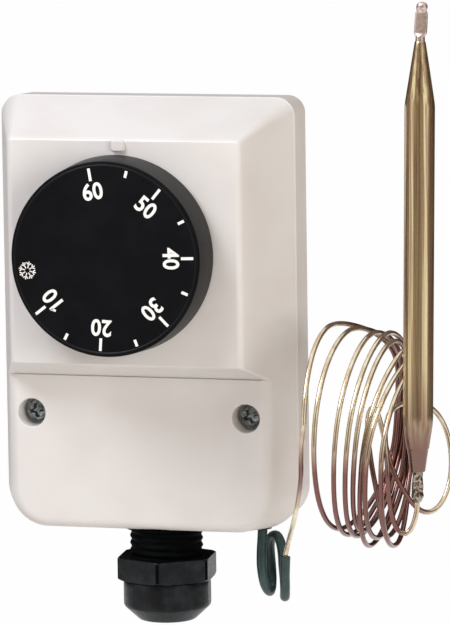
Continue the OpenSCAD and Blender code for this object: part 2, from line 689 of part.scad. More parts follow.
// Domed nut with six shallow flats
module gland_nut() color(black) on_gland() difference() {
    intersection() {
        rotate_extrude($fn = 72) polygon([
            [0, nut_start], [gland_nut_r - 0.3, nut_start], [gland_nut_r, nut_start - 0.4],
            [gland_nut_r, nut_end + 2.6], [gland_nut_r - 0.3, nut_end + 2.2],
            [5.8, nut_end + 0.15], [5.4, nut_end], [0, nut_end]]);
        rotate(hex_turn) bar((gland_nut_r - 0.25) / cos(30), nut_end - 1, nut_start + 1, 6);
    }
    rotate_extrude($fn = round_fn) polygon([
        [0, nut_start + 1], [seal_r + 1.1 + running_gap, nut_start + 1], [seal_r + 1.1 + running_gap, hex_end - barrel_l - 0.1],
        [seal_r - 1.3, hex_end - barrel_l - 0.5], [seal_hole_r + 0.75, hex_end - barrel_l - 0.5],
        [seal_hole_r + 0.75, nut_end - 1], [0, nut_end - 1]]);
}

// Small flanged bush where the sleeve enters the base
module sleeve_bush() color(black) translate([sleeve_exit[0], sleeve_exit[1], -body_h / 2]) difference() {
    union() {
        bar(bush_hole_r + 0.3, -0.7, -0.05);
        bar(bush_hole_r - running_gap, -0.1, wall + 0.6);
    }
    bar(sleeve_r + 0.05, -1, wall + 1);
}

// Sweep of a round tube along a route, with its rings turned the shortest way
function unit(v) = v / norm(v);
function tangents(p) = [for (i = [0:len(p) - 1]) unit(p[min(i + 1, len(p) - 1)] - p[max(i - 1, 0)])];
function settle(n, t) = unit(n - (n * t) * t);
function normals(t, i = 0, n = [1, 0, 0], done = []) =
    i == len(t) ? done : let (m = settle(n, t[i])) normals(t, i + 1, m, concat(done, [m]));
function ring(c, t, n, r, sides) = let (b = cross(t, n)) [for (k = [0:sides - 1]) c + r * (cos(k * 360 / sides) * n + sin(k * 360 / sides) * b)];
function tube_points(p, r, sides) = let (t = tangents(p), n = normals(t))
    [for (i = [0:len(p) - 1]) each ring(p[i], t[i], n[i], r, sides)];
function tube_faces(count, sides) = concat(
    [[for (k = [0:sides - 1]) k]],
    [for (i = [0:count - 2]) for (k = [0:sides - 1])
        [i * sides + k, (i + 1) * sides + k, (i + 1) * sides + (k + 1) % sides, i * sides + (k + 1) % sides]],
    [[for (k = [sides - 1:-1:0]) (count - 1) * sides + k]]);
module tube(route, r, sides = 8) polyhedron(tube_points(route, r, sides), tube_faces(len(route), sides), convexity = 6);

module inner_capillary() color(copper) tube(inner_route, capillary_r);
module sleeve() color(teal) tube(sleeve_route, sleeve_r);
module capillary_lead() color(copper) tube(lead_route, capillary_r);
module capillary_tail() color(copper) tube(tail_route, capillary_r);

// Closed ring that holds all the turns of the coil
module capillary_coil() color(copper) translate([coil_centre[0] - capillary_r, coil_centre[1], coil_centre[2]])
    rotate([0, 90, 0]) rotate_extrude($fn = 72)
        polygon([[coil_r - coil_wire_depth, 0], [coil_r + capillary_r, 0], [coil_r + capillary_r, coil_w], [coil_r - coil_wire_depth, coil_w]]);

// Places a turned piece on the bulb's axis, with z = 0 where the straight part begins
module on_bulb() translate(bulb_foot) rotate([0, bulb_tilt, 0]) children();

// Sensing bulb: a drawn tube, swaged in two steps below and to one long cone above
module bulb() color(copper) on_bulb() rotate_extrude($fn = 64) polygon([
    [0, bulb_end], [bulb_end_r, bulb_end], [bulb_step_r - 0.1, bulb_step - 0.4], [bulb_step_r, bulb_step],
    [bulb_r, bulb_taper], [bulb_r, bulb_l - 1], [bulb_r - 0.2, bulb_l + 1],
    [1.15, bulb_l + bulb_cone_l], [0, bulb_l + bulb_cone_l]]);

// Soldered ferrule where the capillary enters the bulb
module bulb_ferrule() color(copper) on_bulb() rotate_extrude($fn = round_fn) polygon([
    [0, bulb_end], [1.3, bulb_end], [1.1, bulb_end - 2], [1.15, bulb_end - 4.4],
    [0.8, bulb_end - 6.1], [0, bulb_end - 6.1]]);

// Filling tube, pinched flat and sealed with a bead
module filling_tube() color(copper) on_bulb() {
    bar(1.05, bulb_l + bulb_cone_l, bulb_l + bulb_cone_l + 1.6);
    translate([0, 0, bulb_l + bulb_cone_l + 1.5]) linear_extrude(4.2) square([2.6, 1.3], center = true);
    translate([0, 0, bulb_l + bulb_cone_l + 6.2]) sphere(r = 1.15, $fn = 32);
}

base();
cover();
cover_screw_left();
cover_screw_right();
dial_knob();
spindle();
retaining_ring();
bridge();
spindle_bush();
bridge_screws();
setting_nut();
diaphragm();
transfer_pin();
switch_block();
switch_lid();
snap_blade();
moving_contact();
front_contact();
rear_contact();
terminal_common();
terminal_break();
terminal_make();
terminal_screws();
earth_plate();
earth_screw();
gland_body();
gland_seal();
gland_nut();
sleeve_bush();
inner_capillary();
sleeve();
capillary_lead();
capillary_coil();
capillary_tail();
bulb();
bulb_ferrule();
filling_tube();
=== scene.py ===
"""Looks of a capillary thermostat: housing, dial, cable gland, coiled capillary and sensing bulb.

Lengths in the classes are millimetres, in the frame of the solids: the origin is the centre of the
flat back, the front faces -Y and +Z is up. They become metres where a mesh is made.
"""

import logging
import math
from dataclasses import dataclass, field
from enum import Enum
from typing import Callable, Iterable, Optional, Sequence

import bmesh
import bpy
import numpy as np
from mathutils import Matrix, Vector, noise

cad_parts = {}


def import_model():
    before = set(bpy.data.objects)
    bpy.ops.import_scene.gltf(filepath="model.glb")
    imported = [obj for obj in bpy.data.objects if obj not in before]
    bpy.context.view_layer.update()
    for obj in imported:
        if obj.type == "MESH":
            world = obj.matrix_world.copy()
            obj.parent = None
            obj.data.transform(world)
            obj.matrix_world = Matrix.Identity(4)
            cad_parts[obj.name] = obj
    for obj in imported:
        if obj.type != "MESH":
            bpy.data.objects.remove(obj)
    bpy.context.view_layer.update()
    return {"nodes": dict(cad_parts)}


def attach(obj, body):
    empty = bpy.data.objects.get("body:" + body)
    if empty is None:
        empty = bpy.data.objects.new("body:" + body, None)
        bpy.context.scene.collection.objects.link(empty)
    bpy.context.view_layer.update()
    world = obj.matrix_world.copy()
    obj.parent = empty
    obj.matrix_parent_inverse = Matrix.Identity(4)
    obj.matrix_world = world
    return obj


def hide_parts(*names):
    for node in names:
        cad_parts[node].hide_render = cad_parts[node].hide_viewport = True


LOG = logging.getLogger("thermostat")
MM = 0.001
Point = tuple[float, float, float]
Profile = list[tuple[float, float]]


def linear(colour: str) -> tuple[float, float, float, float]:
    """Turns an sRGB hex colour into the linear values that shaders take.

    Args:
        colour: Six hex digits with a leading mark, such as "#DDD6D0".

    Returns:
        Linear red, green and blue, and an alpha of 1.
    """
    parts = [int(colour[i:i + 2], 16) / 255 for i in (1, 3, 5)]
    red, green, blue = (c / 12.92 if c <= 0.04045 else ((c + 0.055) / 1.055) ** 2.4 for c in parts)
    return red, green, blue, 1.0


def add_node(tree: bpy.types.NodeTree, kind: str, settings: Optional[dict] = None,
             links: Optional[dict] = None) -> bpy.types.Node:
    """Adds a node, sets its sockets or properties, and links what feeds it.

    Args:
        tree: The tree that takes the node.
        kind: Blender's name for the node's type.
        settings: Socket names or numbers, or property names, with their values.
        links: Socket names or numbers, with the output socket that feeds each.

    Returns:
        The new node.
    """
    node = tree.nodes.new(kind)
    for name, value in (settings or {}).items():
        if isinstance(name, int) or name in node.inputs:
            node.inputs[name].default_value = value
        else:
            setattr(node, name, value)
    for name, source in (links or {}).items():
        tree.links.new(source, node.inputs[name])
    return node


class Slot(Enum):
    """The record's material slots."""

    HOUSING = "housing_plastic"
    KNOB = "knob_plastic"
    GLAND = "gland_plastic"
    ZINC = "zinc_steel"
    STEEL = "plain_steel"
    BRASS = "brass"
    PHENOLIC = "phenolic"
    SILVER = "contact_silver"
    CERAMIC = "ceramic"
    RUBBER = "rubber"
    SLEEVE = "sleeve_vinyl"
    COPPER = "copper_tube"


@dataclass(frozen=True)
class Finish:
    """A surface finish: the plain values of its shader, and how it is called."""

    title: str
    colour: str
    roughness: float
    ior: float = 1.5
    metallic: float = 0.0
    specular: float = 0.5

    def material(self) -> bpy.types.Material:
        """Builds the material, or hands out the one that was built before.

        Returns:
            The finished material.
        """
        made = bpy.data.materials.get(self.title)
        if made is not None:
            return made
        made = bpy.data.materials.new(self.title)
        made.use_nodes = True
        shader = made.node_tree.nodes["Principled BSDF"]
        shader.inputs["Base Color"].default_value = linear(self.colour)
        shader.inputs["Roughness"].default_value = self.roughness
        shader.inputs["Metallic"].default_value = self.metallic
        if not self.metallic:
            shader.inputs["IOR"].default_value = self.ior
            shader.inputs["Specular IOR Level"].default_value = self.specular
        self.pattern(made.node_tree, shader)
        return made

    def pattern(self, tree: bpy.types.NodeTree, shader: bpy.types.Node) -> None:
        """Adds the finish's own pattern to its shader; the plain finish has none."""

    def grain(self, tree: bpy.types.NodeTree, size: Point, detail: float = 3.0) -> bpy.types.Node:
        """Adds noise whose lumps have a real size.

        Args:
            tree: The tree that takes the nodes.
            size: Size of a lump along X, Y and Z, in millimetres.
            detail: How many finer layers the noise has.

        Returns:
            The noise node.
        """
        place = add_node(tree, "ShaderNodeTexCoord")
        scale = tuple(1 / (s * MM) for s in size)
        scaled = add_node(tree, "ShaderNodeMapping", {"Scale": scale}, {"Vector": place.outputs["Object"]})
        return add_node(tree, "ShaderNodeTexNoise", {"Scale": 1.0, "Detail": detail},
                        {"Vector": scaled.outputs["Vector"]})

    def blend(self, tree: bpy.types.NodeTree, shader: bpy.types.Node, other: str, factor: bpy.types.NodeSocket,
              low: float, high: float) -> None:
        """Mixes the finish's colour with a second one where a pattern says so.

        Args:
            tree: The tree that takes the nodes.
            shader: The shader whose colour is fed.
            other: The second colour, in hex.
            factor: The pattern's output.
            low: Pattern value at which the first colour stands alone.
            high: Pattern value at which the second colour stands alone.
        """
        share = add_node(tree, "ShaderNodeMapRange", {"From Min": low, "From Max": high}, {"Value": factor})
        mix = add_node(tree, "ShaderNodeMix", {"data_type": "RGBA", 6: linear(self.colour), 7: linear(other)},
                       {0: share.outputs["Result"]})
        tree.links.new(mix.outputs[2], shader.inputs["Base Color"])

    def roughen(self, tree: bpy.types.NodeTree, shader: bpy.types.Node, factor: bpy.types.NodeSocket,
                spread: float) -> None:
        """Lets the roughness swing round its value with a pattern.

        Args:
            tree: The tree that takes the nodes.
            shader: The shader whose roughness is fed.
            factor: The pattern's output, about 0.3 to 0.7.
            spread: How far the roughness swings each way.
        """
        swing = add_node(tree, "ShaderNodeMapRange",
                         {"From Min": 0.3, "From Max": 0.7, "To Min": self.roughness - spread,
                          "To Max": self.roughness + spread}, {"Value": factor})
        tree.links.new(swing.outputs["Result"], shader.inputs["Roughness"])

    def relief(self, tree: bpy.types.NodeTree, shader: bpy.types.Node, height: bpy.types.NodeSocket,
               depth_mm: float, strength: float = 1.0) -> None:
        """Raises a pattern as fine relief.

        Args:
            tree: The tree that takes the nodes.
            shader: The shader whose normal is fed.
            height: The pattern's output.
            depth_mm: Height of the relief, in millimetres.
            strength: Share of the relief that shows.
        """
        bump = add_node(tree, "ShaderNodeBump", {"Strength": strength, "Distance": depth_mm * MM},
                        {"Height": height})
        tree.links.new(bump.outputs["Normal"], shader.inputs["Normal"])


@dataclass(frozen=True)
class MouldedPlastic(Finish):
    """Injection-moulded plastic: a fine eroded grain with faint, broad flow variation in tone."""

    tone: str = "#000000"
    grain_mm: float = 0.25
    grain_depth_mm: float = 0.004
    flow_mm: float = 14.0
    swing: float = 0.04

    def pattern(self, tree: bpy.types.NodeTree, shader: bpy.types.Node) -> None:
        """Adds the tone, gloss and grain of the moulded skin."""
        flow = self.grain(tree, (self.flow_mm, self.flow_mm, self.flow_mm), 2.0)
        self.blend(tree, shader, self.tone, flow.outputs["Fac"], 0.42, 0.78)
        skin = self.grain(tree, (self.grain_mm, self.grain_mm, self.grain_mm), 2.0)
        self.roughen(tree, shader, skin.outputs["Fac"], self.swing)
        self.relief(tree, shader, skin.outputs["Fac"], self.grain_depth_mm)


@dataclass(frozen=True)
class DrawnMetal(Finish):
    """Metal drawn or turned along one direction: long faint streaks in tone and gloss."""

    tone: str = "#000000"
    streak_mm: Point = (0.5, 0.5, 14.0)
    swing: float = 0.06
    streak_depth_mm: float = 0.002
    low: float = 0.35
    high: float = 0.7

    def pattern(self, tree: bpy.types.NodeTree, shader: bpy.types.Node) -> None:
        """Adds the streaks."""
        streaks = self.grain(tree, self.streak_mm, 4.0)
        self.blend(tree, shader, self.tone, streaks.outputs["Fac"], self.low, self.high)
        self.roughen(tree, shader, streaks.outputs["Fac"], self.swing)
        self.relief(tree, shader, streaks.outputs["Fac"], self.streak_depth_mm)


@dataclass(frozen=True)
class DarkeningMetal(DrawnMetal):
    """Drawn metal that goes over into a darker red-brown below one height and behind one depth, between two side
    limits.
    """

    darker_colour: str = "#000000"
    start_mm: float = 0.0
    end_mm: float = -10.0
    left_mm: float = -500.0
    right_mm: float = 500.0
    rear_mm: float = 500.0

    def pattern(self, tree: bpy.types.NodeTree, shader: bpy.types.Node) -> None:
        """Adds the streaks, and the darker red-brown over them."""
        super().pattern(tree, shader)
        place = add_node(tree, "ShaderNodeTexCoord")
        spot = add_node(tree, "ShaderNodeSeparateXYZ", None, {"Vector": place.outputs["Object"]})
        def fade(axis: str, start: float, end: float) -> bpy.types.NodeSocket:
            """Gives a share that grows from 0 to 1 along one axis."""
            return add_node(tree, "ShaderNodeMapRange", {"From Min": start * MM, "From Max": end * MM},
                            {"Value": spot.outputs[axis]}).outputs["Result"]

        share = add_node(tree, "ShaderNodeMath", {"operation": "MAXIMUM"},
                         {0: fade("Z", self.start_mm, self.end_mm), 1: fade("Y", self.rear_mm, self.rear_mm + 9)})
        for limit in (fade("X", self.left_mm, self.left_mm + 4), fade("X", self.right_mm + 3, self.right_mm)):
            share = add_node(tree, "ShaderNodeMath", {"operation": "MULTIPLY"},
                             {0: share.outputs[0], 1: limit})
        share = share.outputs[0]
        # Mixes in the darker red-brown: painted shade on the capillary's lower turns and rear strands; on the bulb, a
        # darker lower end.
        undarkened_colour = shader.inputs["Base Color"].links[0].from_socket
        mix = add_node(tree, "ShaderNodeMix", {"data_type": "RGBA", 7: linear(self.darker_colour)},
                       {0: share, 6: undarkened_colour})
        tree.links.new(mix.outputs[2], shader.inputs["Base Color"])


@dataclass(frozen=True)
class MottledMetal(Finish):
    """Plated, soldered or stamped metal: small patches of tone and a slightly uneven skin."""

    tone: str = "#000000"
    patch_mm: float = 0.8
    skin_depth_mm: float = 0.006
    swing: float = 0.08

    def pattern(self, tree: bpy.types.NodeTree, shader: bpy.types.Node) -> None:
        """Adds the patches."""
        patches = self.grain(tree, (self.patch_mm, self.patch_mm, self.patch_mm), 4.0)
        self.blend(tree, shader, self.tone, patches.outputs["Fac"], 0.38, 0.66)
        self.roughen(tree, shader, patches.outputs["Fac"], self.swing)
        self.relief(tree, shader, patches.outputs["Fac"], self.skin_depth_mm)


# ABS, moulded on spark-eroded steel: warm white with a soft, even sheen
HOUSING_ABS = MouldedPlastic("moulded_abs_warm_white", "#DCD9D6", 0.42, ior=1.54, tone="#D6D1CD",
                             grain_mm=0.22, grain_depth_mm=0.003)
# ABS, moulded on a finely eroded face: dry and nearly black, it hardly mirrors
KNOB_FACE_ABS = MouldedPlastic("eroded_abs_black", "#0A0B0D", 0.62, ior=1.54, specular=0.07, tone="#101114",
                               grain_mm=0.3, grain_depth_mm=0.02, flow_mm=6.0, swing=0.06)
# ABS, moulded plain: the knob's rim has a soft grey sheen
KNOB_ABS = MouldedPlastic("moulded_abs_black", "#0C0C0D", 0.42, ior=1.54, specular=0.16, tone="#121212",
                          grain_mm=0.25, grain_depth_mm=0.006, flow_mm=8.0, swing=0.06)
# Polyamide 6, moulded: dense black with a blue-grey sheen that wanders a little
GLAND_NYLON = MouldedPlastic("moulded_polyamide_black", "#06080B", 0.32, ior=1.53, specular=0.2,
                             tone="#1C2228", grain_mm=0.5, grain_depth_mm=0.01, flow_mm=3.0, swing=0.08)
# The same polyamide, rougher and with little gloss, on the thread, the hexagon's top and its cut corners; its darker
# colour is painted shade, under the housing and along the corners: dull and almost without light
SHADED_ROUGH_NYLON = MouldedPlastic("rough_polyamide_painted_shade", "#020304", 0.7, ior=1.53, specular=0.05,
                             tone="#060708", grain_mm=0.5, grain_depth_mm=0.01, flow_mm=2.0)
# Pad-printed ink: flat, slightly creamy white
SCALE_INK = MouldedPlastic("printed_ink_white", "#F2F1EC", 0.55, tone="#E6E4DE",
                           grain_mm=0.15, grain_depth_mm=0.002, flow_mm=2.0)
# Steel with dark zinc plating: dull grey-green metal with bright worn spots
ZINC_STEEL = MottledMetal("zinc_plated_steel", "#A6AEB1", 0.3, metallic=0.85, tone="#5C6568", patch_mm=0.6)
# Plain rolled steel: cool, fairly bright and lightly brushed
ROLLED_STEEL = DrawnMetal("rolled_steel", "#A8A9AB", 0.3, metallic=1.0, tone="#8B8C90", streak_mm=(5.0, 0.4, 0.4))
# Turned brass: yellow and bright
TURNED_BRASS = DrawnMetal("turned_brass", "#C9A55A", 0.26, metallic=1.0, tone="#A98644", streak_mm=(0.6, 3.0, 0.6))
# Phenolic, compression moulded: brown-red, faintly marbled
PHENOLIC = MouldedPlastic("moulded_phenolic", "#4B3226", 0.36, ior=1.6, tone="#3A261D", flow_mm=2.5)
# Silver alloy contact: pale and bright
SILVER = MottledMetal("contact_silver", "#D9D8D4", 0.22, metallic=1.0, tone="#C4C2BC", patch_mm=0.4)
# Glazed steatite: off-white, with a wet gloss
STEATITE = MouldedPlastic("glazed_steatite", "#E6E2D8", 0.16, ior=1.55, tone="#DAD5C9", flow_mm=1.5,
                          grain_depth_mm=0.001)
# Moulded rubber: dull black
RUBBER = MouldedPlastic("moulded_rubber", "#161616", 0.7, ior=1.52, tone="#1E1E1E", grain_depth_mm=0.008)
# PVC tube, extruded: dark green-grey with a soft shine
SLEEVE_PVC = MouldedPlastic("extruded_pvc_green", "#2E4645", 0.34, ior=1.53, tone="#23393A",
                            grain_mm=0.6, grain_depth_mm=0.006, flow_mm=2.0)
# Copper capillary, drawn and thinly tinned: pale cream metal; the red-brown on its lower turns and on the coil's rear
# strands is painted shade
CAPILLARY_COPPER = DarkeningMetal("drawn_copper_capillary", "#F0E5CB", 0.16, metallic=0.85, tone="#D0B896",
                                  streak_mm=(3.0, 3.0, 3.0), streak_depth_mm=0.001, darker_colour="#825B53",
                                  start_mm=-17.0, end_mm=-27.0, left_mm=34.5, right_mm=61.0,
                                  rear_mm=-24.0)
# Copper bulb, drawn: olive gold with brown streaks along its length, going over into a darker red-brown towards its
# lower end
BULB_COPPER = DarkeningMetal("drawn_copper_bulb", "#E2D0A4", 0.2, metallic=0.92, tone="#A8896F",
                             streak_mm=(0.5, 0.5, 40.0), streak_depth_mm=0.002, low=0.4, high=0.62, darker_colour="#84675C",
                             start_mm=-5.0, end_mm=-22.0)
# Annealed copper at the pinched end: pinkish and dull from the torch
PINCHED_COPPER = MottledMetal("annealed_copper", "#E6D6CE", 0.36, metallic=0.9, tone="#BFA298", patch_mm=0.7)
# Soft solder over copper: grey, lumpy and spotted
SOLDER = MottledMetal("soft_solder", "#C4B4A6", 0.24, metallic=1.0, tone="#3B2822", patch_mm=0.45,
                      skin_depth_mm=0.08)


def mesh_object(name: str, points: Iterable[Sequence[float]], faces: Iterable[Sequence[int]]) -> bpy.types.Object:
    """Makes an object from points in millimetres, with smooth faces that look outwards.

    Args:
        name: The piece's name.
        points: The points, in millimetres.
        faces: Point numbers of each face.

    Returns:
        The new object, at the origin.
    """
    mesh = bpy.data.meshes.new(name)
    mesh.from_pydata([Vector(p) * MM for p in points], [], list(faces))
    bm = bmesh.new()
    bm.from_mesh(mesh)
    bmesh.ops.remove_doubles(bm, verts=bm.verts, dist=0.002 * MM)
    bmesh.ops.recalc_face_normals(bm, faces=bm.faces)
    for face in bm.faces:
        face.smooth = True
    bm.to_mesh(mesh)
    bm.free()
    made = bpy.data.objects.new(name, mesh)
    bpy.context.scene.collection.objects.link(made)
    return made


def sharpen(obj: bpy.types.Object, degrees: float = 32.0) -> None:
    """Marks a new mesh's edges as sharp where its faces meet at more than an angle."""
    obj.data.set_sharp_from_angle(angle=math.radians(degrees))


def rings(name: str, rows: Sequence[Sequence[Sequence[float]]], capped: bool = True) -> bpy.types.Object:
    """Skins a row of closed rings that have the same number of points.

    Args:
        name: The piece's name.
        rows: The rings, in order.
        capped: Whether the two ends are closed.

    Returns:
        The skinned object.
    """
    count = len(rows[0])
    points = [p for row in rows for p in row]
    faces = []
    for i in range(len(rows) - 1):
        for k in range(count):
            nxt = (k + 1) % count
            faces.append((i * count + k, i * count + nxt, (i + 1) * count + nxt, (i + 1) * count + k))
    if capped:
        faces.append(tuple(range(count)))
        faces.append(tuple((len(rows) - 1) * count + k for k in reversed(range(count))))
    return mesh_object(name, points, faces)


def rounded(corners: Sequence[tuple[float, float, float]], steps: int = 5) -> Profile:
    """Rounds the corners of an open profile.

    Args:
        corners: Radius, height and corner radius of each point, in millimetres.
        steps: How many stretches each rounding has.

    Returns:
        The profile's points.
    """
    made: Profile = []
    for i, (x, y, r) in enumerate(corners):
        here = Vector((x, y))
        if r <= 0 or i in (0, len(corners) - 1):
            made.append((x, y))
            continue
        before = Vector(corners[i - 1][:2]) - here
        after = Vector(corners[i + 1][:2]) - here
        cut = min(r * 1.4, before.length * 0.48, after.length * 0.48)
        start, end = here + before.normalized() * cut, here + after.normalized() * cut
        for k in range(steps + 1):
            t = k / steps
            spot = start * (1 - t) ** 2 + here * (2 * t * (1 - t)) + end * t ** 2
            made.append((spot.x, spot.y))
    return made


def turned(name: str, profile: Profile, place: Matrix, segments: int = 128,
           reach: Optional[Callable[[float, float], float]] = None) -> bpy.types.Object:
    """Turns a profile round an axis, as on a lathe, with flats or threads where asked.

    Args:
        name: The piece's name.
        profile: Radius and height along the axis, in millimetres.
        place: Puts the axis, drawn along Z, into the frame (millimetres).
        segments: Points round the axis.
        reach: Gives the largest radius at an angle and a height, where flats or threads limit it.

    Returns:
        The turned object.
    """
    rows = []
    for radius, height in profile:
        row = []
        for k in range(segments):
            angle = math.tau * k / segments
            r = max(radius, 0.0005)
            if reach is not None:
                r = min(r, reach(angle, height))
            row.append(place @ Vector((r * math.cos(angle), r * math.sin(angle), height)))
        rows.append(row)
    made = rings(name, rows)
    sharpen(made)
    return made


def along(points: np.ndarray, step: float) -> np.ndarray:
    """Lays evenly spaced points along a smooth curve through given points.

    Args:
        points: The given points, one a row.
        step: The spacing wanted.

    Returns:
        The evenly spaced points, the two ends included.
    """
    padded = np.vstack([2 * points[0] - points[1], points, 2 * points[-1] - points[-2]])
    fine = []
    for i in range(1, len(padded) - 2):
        p0, p1, p2, p3 = padded[i - 1:i + 3]
        for t in np.linspace(0, 1, 12, endpoint=False):
            fine.append(0.5 * (2 * p1 + (p2 - p0) * t + (2 * p0 - 5 * p1 + 4 * p2 - p3) * t ** 2
                               + (3 * p1 - p0 - 3 * p2 + p3) * t ** 3))
    fine.append(points[-1])
    line = np.array(fine)
    reached = np.concatenate([[0], np.cumsum(np.linalg.norm(np.diff(line, axis=0), axis=1))])
    marks = np.linspace(0, reached[-1], max(2, round(reached[-1] / step) + 1))
    return np.stack([np.interp(marks, reached, line[:, axis]) for axis in range(3)], axis=1)


def tube(name: str, line: np.ndarray, outer: float, inner: float, sides: int = 16) -> bpy.types.Object:
    """Sweeps a hollow round tube along a line.

    Args:
        name: The piece's name.
        line: Points of the centre line, in millimetres.
        outer: Outer radius, in millimetres.
        inner: Bore radius, in millimetres.
        sides: Points round the tube.

    Returns:
        The tube.
    """
    tangents = np.gradient(line, axis=0)
    tangents /= np.linalg.norm(tangents, axis=1)[:, None]
    normal = np.cross(tangents[0], (0.0, 1.0, 0.0))
    outside, inside = [], []
    for centre, tangent in zip(line, tangents):
        normal = normal - tangent * (normal @ tangent)
        normal /= np.linalg.norm(normal)
        side = np.cross(tangent, normal)
        spokes = [math.cos(math.tau * k / sides) * normal + math.sin(math.tau * k / sides) * side
                  for k in range(sides)]
        outside.append([centre + outer * s for s in spokes])
        inside.append([centre + inner * s for s in spokes])
    loop = [*outside, *reversed(inside), outside[0]]
    return rings(name, loop, capped=False)


def smooth_by_angle() -> bpy.types.NodeTree:
    """Makes the modifier group that shades faces smooth, save where they meet at a sharp edge.

    Returns:
        The node group, made once.
    """
    name = "smooth_by_angle"
    if name in bpy.data.node_groups:
        return bpy.data.node_groups[name]
    tree = bpy.data.node_groups.new(name, "GeometryNodeTree")
    tree.interface.new_socket("Geometry", in_out="INPUT", socket_type="NodeSocketGeometry")
    tree.interface.new_socket("Geometry", in_out="OUTPUT", socket_type="NodeSocketGeometry")
    source = add_node(tree, "NodeGroupInput")
    faces = add_node(tree, "GeometryNodeSetShadeSmooth", {"domain": "FACE", "Shade Smooth": True},
                     {"Geometry": source.outputs[0]})
    angle = add_node(tree, "GeometryNodeInputMeshEdgeAngle")
    limit = add_node(tree, "FunctionNodeCompare", {"data_type": "FLOAT", "operation": "LESS_EQUAL",
                                                   "B": math.radians(34)}, {"A": angle.outputs["Unsigned Angle"]})
    edges = add_node(tree, "GeometryNodeSetShadeSmooth", {"domain": "EDGE"},
                     {"Geometry": faces.outputs[0], "Shade Smooth": limit.outputs[0]})
    add_node(tree, "NodeGroupOutput", None, {0: edges.outputs[0]})
    return tree


def soften(obj: bpy.types.Object, width_mm: float, degrees: float = 40.0, segments: int = 3) -> None:
    """Joins a solid's faces, rounds its sharp edges a little and shades it smoothly.

    Args:
        obj: The solid's object. Only modifiers are added.
        width_mm: Width of the rounding, in millimetres.
        degrees: Edges that turn by more than this are rounded.
        segments: Stretches in each rounding.
    """
    weld = obj.modifiers.new("join_faces", "WELD")
    weld.merge_threshold = 0.025 * MM
    flat = obj.modifiers.new("merge_flat_faces", "DECIMATE")
    flat.decimate_type = "DISSOLVE"
    flat.angle_limit = math.radians(2.0)
    if width_mm > 0:
        edge = obj.modifiers.new("round_edges", "BEVEL")
        edge.width = width_mm * MM
        edge.segments = segments
        edge.limit_method = "ANGLE"
        edge.angle_limit = math.radians(degrees)
        edge.use_clamp_overlap = True
        edge.miter_outer = "MITER_ARC"
        edge.harden_normals = False
    shade = obj.modifiers.new("smooth_shading", "NODES")
    shade.node_group = smooth_by_angle()
    level = obj.modifiers.new("flat_faces_lead", "WEIGHTED_NORMAL")
    level.keep_sharp = True
    level.weight = 90


def dress(obj: bpy.types.Object, finish: Finish, body: Optional[str] = None,
          stands_for: Sequence[str] = ()) -> bpy.types.Object:
    """Gives a piece its finish and the body that carries it.

    Args:
        obj: The piece.
        finish: Its finish.
        body: The body that carries it, or None for a solid that rides already.
        stands_for: Solids that the piece is shown instead of.

    Returns:
        The same piece.
    """
    obj.data.materials.clear()
    obj.data.materials.append(finish.material())
    if body is not None:
        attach(obj, body)
    if stands_for:
        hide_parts(*stands_for)
    LOG.info("%s: %s", obj.name, finish.title)
    return obj


@dataclass
class PhotoCamera:
    """The camera at the photograph's place, found from the housing's corners and the knob."""

    azimuth: float = 16.138
    elevation: float = 7.593
    roll: float = 0.828
    distance: float = 1088.649
    aim: Point = (13.539, -1.35, -1.147)
    focal_pixels: float = 5238.625
    long_side_pixels: float = 625.0
    sensor: float = 36.0

    def build(self) -> bpy.types.Object:
        """Places the camera and makes it the scene's own.

        Returns:
            The camera.
        """
        a, e, r = (math.radians(x) for x in (self.azimuth, self.elevation, self.roll))
        back = Vector((math.sin(a) * math.cos(e), -math.cos(a) * math.cos(e), math.sin(e)))
        right = Vector((math.cos(a), math.sin(a), 0))
        up = back.cross(right)
        side, top = right * math.cos(r) - up * math.sin(r), right * math.sin(r) + up * math.cos(r)
        data = bpy.data.cameras.new("photo_camera")
        data.sensor_width = self.sensor
        data.lens = self.focal_pixels / self.long_side_pixels * self.sensor
        data.clip_start, data.clip_end = 0.05, 50.0
        camera = bpy.data.objects.new("photo_camera", data)
        place = Matrix((side, top, back)).transposed().to_4x4()
        place.translation = (Vector(self.aim) + back * self.distance) * MM
        camera.matrix_world = place
        bpy.context.scene.collection.objects.link(camera)
        bpy.context.scene.camera = camera
        return camera


